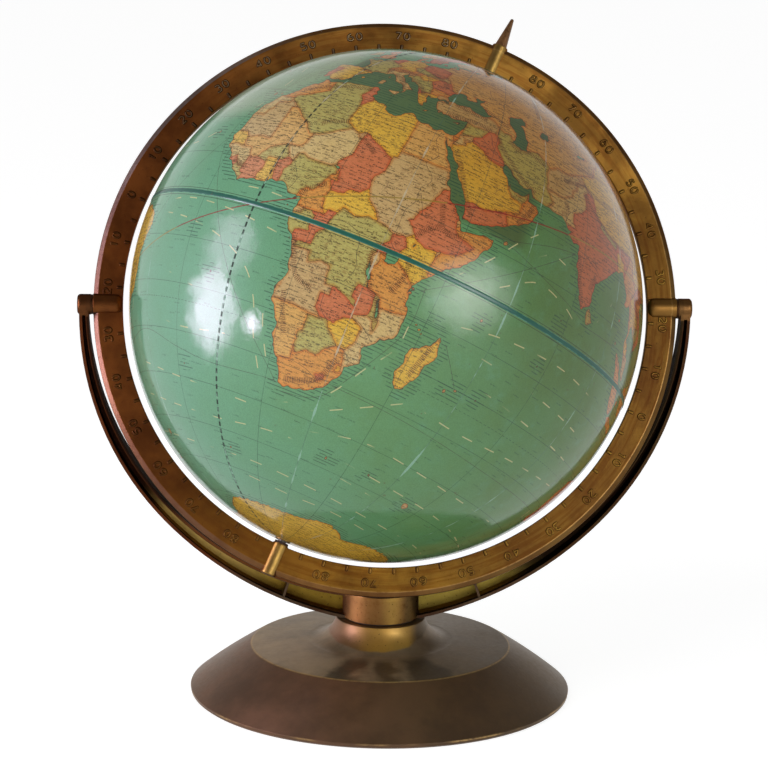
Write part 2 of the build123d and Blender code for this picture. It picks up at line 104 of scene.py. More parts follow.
# Outlines of the lands as longitude,latitude in degrees; here and below, one entry to a paragraph
LANDS = """
# Africa
-5.9,35.8 -5.3,35.9 -3.9,35.2 -2.9,35.3 -0.6,35.8 3,36.8 5.1,36.8 7.8,36.9 9.8,37.3 11,37.1 10.6,36.3 11,35.2
10.1,33.9 11.1,33.5 13.2,32.9 15.1,32.4 15.7,31.4 17.4,30.8 19.2,30.3 20,31 20.1,32.1 21.7,32.9 23.1,32.6
24,32 25.2,31.6 27.2,31.3 29,30.9 30.2,31.3 31.1,31.6 32.3,31.2 33.2,30.8 32.6,29.9 33.2,28.6 33.8,27.2
34.6,25.7 35.7,23.9 36.9,22 37.2,20.7 37.3,19 38.6,18 39.4,15.6 41.2,14.6 42.7,13 43.2,11.6 44.3,10.4
46.5,10.8 48.9,11.3 51.3,11.9 51.2,10.4 50.8,9.2 49.8,7.8 48.9,6 47.9,4.4 46,2.6 44.4,1.6 42.5,-0.4 41.5,-1.8
40.3,-2.6 39.5,-4.5 38.8,-6.3 39.5,-7.2 39.4,-8.8 40.5,-10.6 40.5,-13 40.8,-14.8 39.9,-16.3 37.8,-17.4
36.6,-18.8 34.9,-19.9 34.7,-20.8 35.5,-22.2 35.4,-23.9 33.6,-25.1 32.6,-25.9 32.8,-27.6 31.3,-29.5 30.2,-31.3
28.2,-32.8 25.7,-34 22.5,-34.1 20,-34.8 18.4,-34.3 18.3,-32.8 18.1,-31.6 16.8,-29 15.2,-27 14.5,-24.5
14.4,-22.6 13.2,-20 11.8,-17.9 11.8,-15.9 12.6,-13.8 13.7,-11.8 13,-9.1 12.3,-6.1 11.1,-4 9.3,-2.3 8.8,-0.8
9.5,0.6 9.7,2.4 9.6,3.8 8.5,4.6 6.9,4.3 5.9,4.4 5,5.8 3.4,6.4 1.2,6.1 -0.2,5.5 -2.1,4.8 -4,5.3 -6,4.8
-7.6,4.4 -9.2,5.5 -11.3,6.9 -13.2,8.5 -13.7,9.7 -15.1,11 -16.7,12.4 -16.6,13.6 -17.5,14.7 -16.5,16 -16.1,18.1
-16.3,19.4 -17,20.9 -16.3,22.4 -15.8,23.9 -14.5,26.1 -12.9,27.9 -11.3,28.8 -9.7,30.2 -9.8,31.5 -8.3,33.2
-6.8,34.1

# Eurasia
-5.4,36.1 -6.3,36.6 -7.4,37.2 -9,37 -8.8,38.3 -9.4,38.8 -8.7,41.2 -9.3,43 -8,43.7 -5.7,43.6 -1.8,43.4
-1.3,44.6 -1.1,46 -2.3,47.2 -4.6,48 -4.6,48.6 -1.7,48.7 -1.8,49.7 0.1,49.6 1.6,50.9 3.5,51.5 4.7,53 7,53.6
8.7,54 8.2,55.5 8.2,57 10.6,57.7 10.4,56.3 9.7,55.2 10.8,54.4 12.4,54.3 14.3,53.9 16.8,54.6 18.6,54.6
19.8,54.9 21.1,55.8 21.5,57.5 24,57.1 24.4,58.3 23.5,59.2 26,59.6 30,59.9 27,60.5 23,59.9 21.4,61.1 21.3,63
25.3,65 24.2,65.8 21.6,65.3 20.3,63.8 17.5,62.2 17.2,60.8 18.9,59.8 16.7,58.2 16.4,56.7 14.6,56 12.9,55.5
11.8,57.7 10.7,59.4 8,58.1 5.6,58.8 5,60.8 6.5,62.6 10,64 12.9,66 15,68.2 19,69.9 25.8,71.1 31,70.3 33.5,69.4
40.9,67.7 38,66.1 33,66.7 37,64 40.5,64.7 44,66 43.5,68.5 46.5,67.5 53.8,68.3 60.5,69 67,68.6 66.8,71 69,73
72.6,72.8 72.5,70 74,67 75,72 80,72.5 81,73.6 87,75 98,76.2 104.3,77.7 113,76 112,74.2 106.5,73.2 114,73.6
123,73 127,73.5 129.5,71 140,72.5 150,71.5 161,69.5 170,69.8 180,69 190.2,66.1 184,65.2 178,64.6 179.4,62.5
170.5,60 163.4,59.8 163,57.9 162.8,56.2 160,53 156.7,51 155.6,54 155.9,57 161.8,60.4 164,62.5 160,61.6
155,59.3 150.8,59.4 143,59.2 135.3,54.8 137.7,53.9 141.2,53 140.5,50.5 140.2,48.4 136,44.5 132,43.1
130.7,42.3 129.6,41 127.5,39.6 129.4,37 129,35.2 126.4,34.4 126.6,37 125,38 124.6,39.9 121.6,38.9 121.9,40.7
118,39.1 119,37.3 122.5,37.2 119.8,35.8 119.4,34.7 121.8,31.7 120.8,30.5 122,29.8 119.8,26 118,24.4
114.2,22.3 110.6,21.2 110.2,20.3 109.7,21.5 106.8,20.6 105.8,18.8 108.3,16.1 109.3,12 107,10.4 104.8,8.6
105,10 102.5,12 100.9,13.4 100,12.5 99.2,10 100.2,8.5 102.3,6.2 103.4,4 104.2,1.4 101.4,2.9 100.3,5.6 98.4,8
98.7,10.8 97.8,15 97.2,16.8 95.4,15.8 94.3,16.1 94.4,18.6 92.4,20.8 91.6,22.6 90,21.9 88,21.7 86.9,21
85.6,19.7 82.3,16.7 80.2,15.5 80.2,13.1 79.8,10.3 78.3,8.9 77.5,8.1 76.2,10 74.8,12.9 73.6,15.8 72.8,19
72.7,21.2 71,20.8 69,22.3 70.3,22.9 68.3,23.6 66.8,24.9 64.5,25.3 61.6,25.1 57.4,25.7 56.6,27.1 54.5,26.6
51.5,27.9 50.3,29.8 48.7,30.2 48.1,29.3 48.8,27.7 50.1,26.5 50.8,24.9 51.3,26.1 51.6,24.9 54.2,24.2 56.3,26.2
56.6,24.4 58.6,23.6 59.8,22.5 58.4,20.4 57.7,18.9 55.2,17.4 52.2,15.6 48.6,14 45,12.8 43.4,12.7 42.8,15
42.5,16.8 40.8,19.6 39.1,21.4 38,24.1 36.4,26 34.7,28.1 35,29.5 34.3,27.8 32.7,29.9 32.3,31.2 34.2,31.3
35,32.8 35.9,35.2 36.1,36.7 34.5,36.7 32.8,36 30.7,36.8 29.3,36.2 27.4,37 26.3,38.4 26.2,39.5 27.3,40.4 29,41
27.5,41 26.2,40.1 25.8,40.9 23.9,40.2 22.9,40.5 23.1,39.2 24,37.8 23.1,37.6 23.1,36.5 22.4,36.6 21.6,36.9
21.2,38 19.9,39.8 19.4,41.2 18.3,42.6 15.9,43.6 14.5,45.2 13.6,44.9 13.5,45.7 12.3,45.2 12.4,44.2 13.6,43.6
14.3,42.4 16.1,41.9 18.5,40.2 17.1,40.4 16.6,39.7 17.1,39 15.8,37.9 16.1,39 14.3,40.8 12.2,41.8 10.3,43.5
8.9,44.4 7.2,43.6 5,43.3 3.1,43 3.2,42 0.8,40.8 -0.3,39.5 0.2,38.7 -0.8,37.7 -2.2,36.8 -4.4,36.7

# North and Central America
-168,65.6 -163,66.8 -166.6,68.3 -156.5,71.3 -145,70.1 -135,69.3 -128,70.3 -115,68.2 -108,68 -96,68 -95,71.8
-92,69.5 -88,68.5 -82,69.6 -81.5,67.5 -86.5,66.5 -88,64.5 -91,63.4 -94.2,61 -94.2,58.8 -92.4,57 -88,56.6
-82.3,55.2 -82,53 -80,51.3 -78.8,52.5 -79,54.5 -76.8,56.2 -78.5,58.8 -77.5,62.4 -73.5,62.4 -69.7,61 -69.5,59
-66,58.8 -64.5,60.3 -61.8,56.5 -57.5,54.5 -56,52 -60,50.2 -66.4,50.2 -70.5,47.2 -64.4,48.9 -65,47.5 -63.8,46
-60.2,46.4 -63.5,44.6 -65.7,43.5 -65.5,45.1 -67.5,44.6 -70.7,43 -70,41.7 -73.9,40.6 -75,38.7 -76,37
-75.6,35.2 -78,33.9 -81,32 -81.4,30.4 -80.1,26.5 -80.6,25.2 -81.8,26.2 -82.8,28 -84,30 -88,30.3 -89.2,29.1
-92,29.6 -94.7,29.4 -97.2,27.6 -97.8,22.5 -96.2,19.3 -94.5,18.2 -91.2,18.7 -90.4,21 -87,21.5 -88.2,18.2
-88.6,15.9 -86,15.9 -83.2,15 -83.7,11.5 -82.2,9 -79.7,9.6 -77.3,8.6 -77.9,7.2 -79.5,8.9 -80.4,7.3 -82.9,8.2
-84.5,9.6 -85.8,10.2 -87.6,13 -91.5,14 -94.5,16.2 -99.9,16.8 -105.6,20.4 -106.4,23.2 -109.4,25.9 -112.4,29.5
-113.1,31.2 -114.8,31.8 -112.8,28.4 -110.4,24.2 -109.5,23.1 -112.2,24.9 -115,28 -116.1,30.6 -117.2,32.6
-120.6,34.6 -122.5,37.6 -124.3,40.4 -124,46.2 -124.7,48.4 -123,49.2 -127.5,51.3 -130.4,54.4 -134.5,58
-139.5,59.7 -146,60.8 -149.5,59.8 -151.5,61 -154,59 -158,56.5 -164.5,54.6 -160.5,56 -157.8,58.6 -162,58.8
-165,61 -164.8,62.9 -161,64.4 -166,64.5

# South America
-77.3,8.6 -75.5,10.5 -72,12.1 -71.6,10.8 -70,12 -67,10.6 -62,10.7 -60.7,8.6 -58.2,6.8 -55.2,6 -52.3,4.9
-50.4,1.8 -50,0 -48,-0.8 -44.3,-2.6 -40,-2.9 -37.2,-4.7 -35.3,-5.3 -34.9,-8 -37.3,-11.5 -39,-13.5 -39.3,-17.8
-41,-21.8 -44.5,-23.1 -48.5,-26 -48.7,-28.5 -52,-32.5 -54.9,-34.9 -58.3,-34 -57,-36.4 -58,-38.3 -62,-39
-65,-41 -63.7,-42.5 -65.4,-45 -67.6,-46.3 -65.8,-47.8 -69,-51 -68.4,-52.5 -65.3,-54.7 -67.4,-55.7 -71.5,-54.2
-74.5,-52 -75.5,-48 -74.5,-44.5 -73.6,-41.5 -73.5,-38.5 -71.6,-33 -71.4,-29.5 -70.4,-23.5 -70.3,-18.4
-76.2,-13.9 -78.6,-9 -81.3,-5 -80,-3.2 -80.9,-2.2 -80,0.5 -77.2,3.8 -77.9,7.2

# Australia and its near islands
142.5,-10.8 141.6,-12.7 141,-16.5 139.6,-17.6 136,-15.5 136.9,-12.2 132.6,-11.5 130.8,-12.4 129.5,-14.9
126.9,-13.9 124.5,-15.8 122.2,-18 119,-20 114.1,-21.9 113.6,-25.5 114.6,-28.8 115.8,-32 115.1,-34.3 118,-35
122,-33.9 124.1,-33 129,-31.7 131.5,-31.5 134.2,-33 135.8,-34.9 137.8,-32.8 137.2,-35.2 138.5,-34.9 139.8,-37
143.5,-38.8 146.4,-39.1 150,-37.5 151.3,-33.6 153.5,-28.5 152.8,-25.3 150.8,-23.3 147.3,-19.4 145.5,-16.5
143.7,-14.2

144.7,-40.7 148.3,-40.9 148,-43.2 146.2,-43.5 145.3,-42.3

172.7,-34.5 174.8,-36.7 178.4,-37.7 177,-39.4 175.2,-41.6 174.9,-39.9 173.8,-39.2 174.8,-38

172.7,-40.6 174.2,-41.6 172.8,-43.8 170.7,-45.9 168.4,-46.6 166.6,-46 168.5,-44 171.3,-42.3

131,-0.8 134,-0.8 135,-3.3 138,-1.7 141,-2.6 145,-4.5 147.8,-6.2 147,-6.8 150.8,-10.4 147,-9.5 143.6,-8.3
141,-9.1 138,-8.2 138.6,-6.9 135,-4.4 132.8,-4 133.4,-2.6 131.2,-1.5

# Islands of south-east and east Asia
109,1.6 111.3,2.5 113,3.2 115.5,5.5 117,7 119.1,5.2 117.8,3 118.9,1 117.5,-0.5 116.2,-3.9 111.6,-3.4
109.2,-0.5

95.3,5.6 97.6,5.2 100.3,2.8 103.6,-0.2 106,-3 105.7,-5.9 104,-5.6 101.5,-3 98.7,1.7

105.3,-6.8 106.8,-6 110.8,-6.4 114.4,-7.7 114.3,-8.7 110,-8.1

119.5,-5.5 119,-3 119.8,0.6 121,1.2 125,1.6 123.3,0.4 120.5,0.4 120.6,-1.2 123,-0.9 121.6,-2 123,-4.5
121.6,-4.7 120.8,-2.8 120.4,-5.5

120.5,18.4 122.2,18.4 121.7,16 124,12.8 121.2,13.7 120,16

122,7.2 123.6,8.7 125.5,9.7 126.4,7.5 125.4,5.7 124,6.8

124.6,12.5 125.5,11.2 124.3,10.2 122.6,9.6 122,11.6

131,34.3 133,35.6 136,35.8 137,37.3 139.5,38.5 140,40.6 141.3,41.4 142,39.6 140.9,37.3 140.7,35.6 138.6,34.7
135.8,33.6 134.5,34.6 132.3,34

140,41.6 140.4,43.2 141.8,45.4 143.6,44.2 145.3,43.3 143.2,42.1

129.8,33.2 131,33.8 132,32.7 131.2,31.3 130.3,31.4

121.5,25.2 121.4,23.6 120.8,22 120.1,23.2

108.7,19.3 110.6,20 110.2,18.7 109,18.4

79.9,9.6 81.2,8.5 81.8,7 80.5,6 79.8,7.6

142.3,54.2 143.4,51.5 144.5,49 142.9,49 142.7,46.3 142,46.8 142.1,50

# Madagascar
49.3,-12 50.4,-15.6 49.6,-17.4 48.6,-20.5 47.2,-24.9 45.2,-25.6 43.7,-23.6 43.4,-21.9 44.4,-20 44.2,-16.3
46.3,-15.7 48,-13.7

# Britain, Ireland, Iceland and the Mediterranean islands
-5.5,50.1 -3.5,50.3 -1,50.7 1.4,51.2 0.9,51.8 1.7,52.7 0.2,53 -1.6,55.5 -3,56.2 -2,57.5 -4,57.7 -3.1,58.6
-5,58.5 -6,57 -5.4,55.5 -3.3,54.8 -3,53.5 -4.5,53.3 -4.2,52.4 -5.2,51.8 -3,51.4

-6,52.2 -6,54 -7.3,55.3 -10,54.2 -9.3,53.1 -10.2,51.8 -8.2,51.8

-22.5,64 -18.5,63.5 -13.8,64.8 -14.8,66.2 -18.5,66.1 -22.5,66.4 -24.3,65.5

12.5,38 15.6,38.2 15.1,36.7 12.8,37.5

8.3,41 9.6,41 9.5,39.2 8.5,39

8.7,42.5 9.5,42.9 9.3,41.5

23.6,35.5 26.2,35.2 24.8,34.9

32.4,35 34.5,35.6 33.7,34.8

# Arctic islands
11,79.5 18,80 27,80.1 21,78.5 17,76.7 14,77.7

52,71 56,73.5 62,76 68.5,76.8 60,74.8 57,72 57,70.7

-73,78.2 -60,82 -45,82.3 -32,83.5 -20,82 -18,79 -20,76 -22,72 -25,70.5 -32,68.3 -40,65.2 -43,60.2 -48,61
-52,65 -53.5,68 -55,71.5 -58,75 -66,76

-62,66.5 -65.5,62 -72,64 -78,64.5 -73,67.5 -88,70.5 -90,72.5 -85,73.8 -78,73.4 -72,71.5 -67,69

-117,70 -105,69 -105,72.5 -115,73.3

-125,72 -118,71.8 -117,73 -123,74.3

-90,77 -80,76.5 -64,81.5 -70,83 -88,82 -92,80

-92,74.8 -80,74.8 -82,76 -92,76.5

-59.3,47.7 -56,47 -53,46.8 -53.5,48.5 -55.8,49.8 -56,51.5 -57.8,50

-128,50.7 -125.5,50 -123.5,48.4 -126,49

-86,65.7 -81,64 -87,63.6

# West Indies
-84.9,21.9 -82,23.1 -79,22.5 -74.4,20.2 -77.7,19.9 -78.6,21.3 -82.3,22.5

-74.4,18.4 -72.5,19.9 -70,19.7 -68.4,18.6 -71,17.9

-78.3,18.4 -76.3,18.1 -77.3,17.8

-67.2,18.4 -65.7,18.3 -66.3,17.9

# Antarctica, drawn past the date line on both sides
-205,-79 -180,-78.5 -160,-78.3 -150,-77 -140,-75.3 -125,-73.8 -110,-74.5 -100,-72.5 -90,-73 -78,-73 -68,-70
-67,-67 -60,-63.3 -57,-63.5 -61,-67 -61,-72 -62,-76 -50,-78 -35,-78 -26,-75.5 -18,-73 -10,-71 0,-70.3
15,-69.8 30,-69.5 40,-69 47,-67.5 55,-66 65,-67.7 70,-69.5 74,-69.7 80,-68 88,-66.5 100,-66 113,-66 125,-66.5
136,-66 145,-67 155,-69 165,-71 170,-72.5 167,-75 164,-78 180,-78.5 205,-79 205,-95 -205,-95
"""

# Small islands as longitude,latitude,radius in degrees
ISLETS = """
-16.6,28.3,.5 -14,28.4,.4 -17.9,28.7,.25 -23.6,15.1,.3 -24.4,14.9,.2 -25.5,37.8,.3 -28.3,38.6,.25
-5.7,-16,.25 -14.4,-8,.2 -12.3,-37.1,.2 7.4,1.6,.2 6.7,.3,.2 8.7,3.5,.35 43.3,-11.6,.3 44.4,-12.2,.25
45.2,-12.8,.2 55.6,-21.1,.35 57.6,-20.3,.35 63.4,-19.7,.2 55.5,-4.7,.25 46.4,-9.4,.2 53.9,12.5,.5
39.3,-6.1,.35 39.7,-5.2,.25 73.3,3.5,.2 73,.6,.2 72.5,-7.3,.2 92.8,12,.4 93.8,7.2,.3 69.5,-49.3,.8
51.8,-46.4,.3 37.8,-46.9,.3 3.4,-54.4,.25 -36.7,-54.3,.6 -59,-51.7,.9 -45.5,-60.7,.4 14.4,35.9,.2 2.9,39.6,.4
28,36.3,.35 18.7,57.6,.5 22.6,58.4,.5 12,55.4,.6 -7,62,.35 -1.3,60.3,.35 -155.5,19.6,.6 -158,21.4,.35
-90.8,-.6,.5 178,-17.8,.6 165.5,-21.3,.9 160,-9.5,.8 155.2,-6.3,.8 151,-5.5,1.1 167,-15.5,.6 -172,-13.7,.4
134,33.7,.8 144.8,13.5,.25 128.2,-3.2,.8 128,.7,.9 125,-9,.8 120,-9.7,.6 117.5,-8.6,.6 118.6,9.9,.5
-61.4,10.4,.35 -61,14.6,.3 -64.8,32.3,.2 -77.5,24.5,.5 -153.5,57.4,.7 -61.5,16.2,.3 107.5,-2.6,.4 130.5,29,.3
140.8,24.8,.2
"""

# Seas and lakes inside the lands
WATERS = """
29,41.3 27.8,42.6 28.8,44.4 30.7,46.4 32.6,46 32.7,45.4 33.6,44.5 35.4,45 36.6,45.4 35,46.3 38.8,47.2
37.6,45.7 37.4,45 39.8,43.5 41.6,42.1 39.7,41.1 36.4,41.4 35.1,42.1 32,41.6

26.9,40.5 28.8,41 29.3,40.7 27.6,40.3

49.2,37.4 50.3,40.3 48.5,41.9 47.6,43.2 47.2,44.9 49,46.2 51.2,47 53,46.6 53,45.2 51,44.5 52.6,42.5 53,41
53.8,39 53.9,37 52,36.7

58.5,44.6 59,46.3 61.6,46.5 61,44.2 59.2,43.7

31.8,-1 32.6,0.3 34.2,0 33.9,-1.7 32.8,-2.5 31.9,-2.3

29.2,-3.4 29.5,-6 31,-8.7 30.6,-7 29.8,-4.5

34,-9.6 34.9,-12 35.2,-14.2 34.6,-13.8 34.2,-11.5

13.2,13.3 14.3,13.4 14.6,12.9 13.6,12.7

35.8,3 36.3,4.5 36.2,2.6

104,51.6 107,53 109.8,55.6 109,54 106.5,52

30.2,61 32.6,61 32.6,60.2 31.2,60

34.4,61.8 36,61.8 35.7,61 34.8,61.2

-92,46.7 -89,48.2 -85,47.8 -84.8,46.6 -87.8,46.8

-87.6,42 -86.4,42.2 -86.4,44 -85.2,45.6 -87,45.4

-84,46 -81,45.8 -80.2,44.7 -81.7,43.3 -83.5,44

-83.2,41.7 -79,42.8 -81.2,41.8

-79.6,43.3 -76.4,44 -76.6,43.5

-98.6,53.4 -97.4,53.4 -96.6,50.6 -97.3,50.8

-121,66.5 -119,66 -121,65 -123.5,65.4

-116.5,61.2 -111,62.6 -111.5,61.6

73.8,46.2 79,46.7 77,46 74.2,45.2
"""

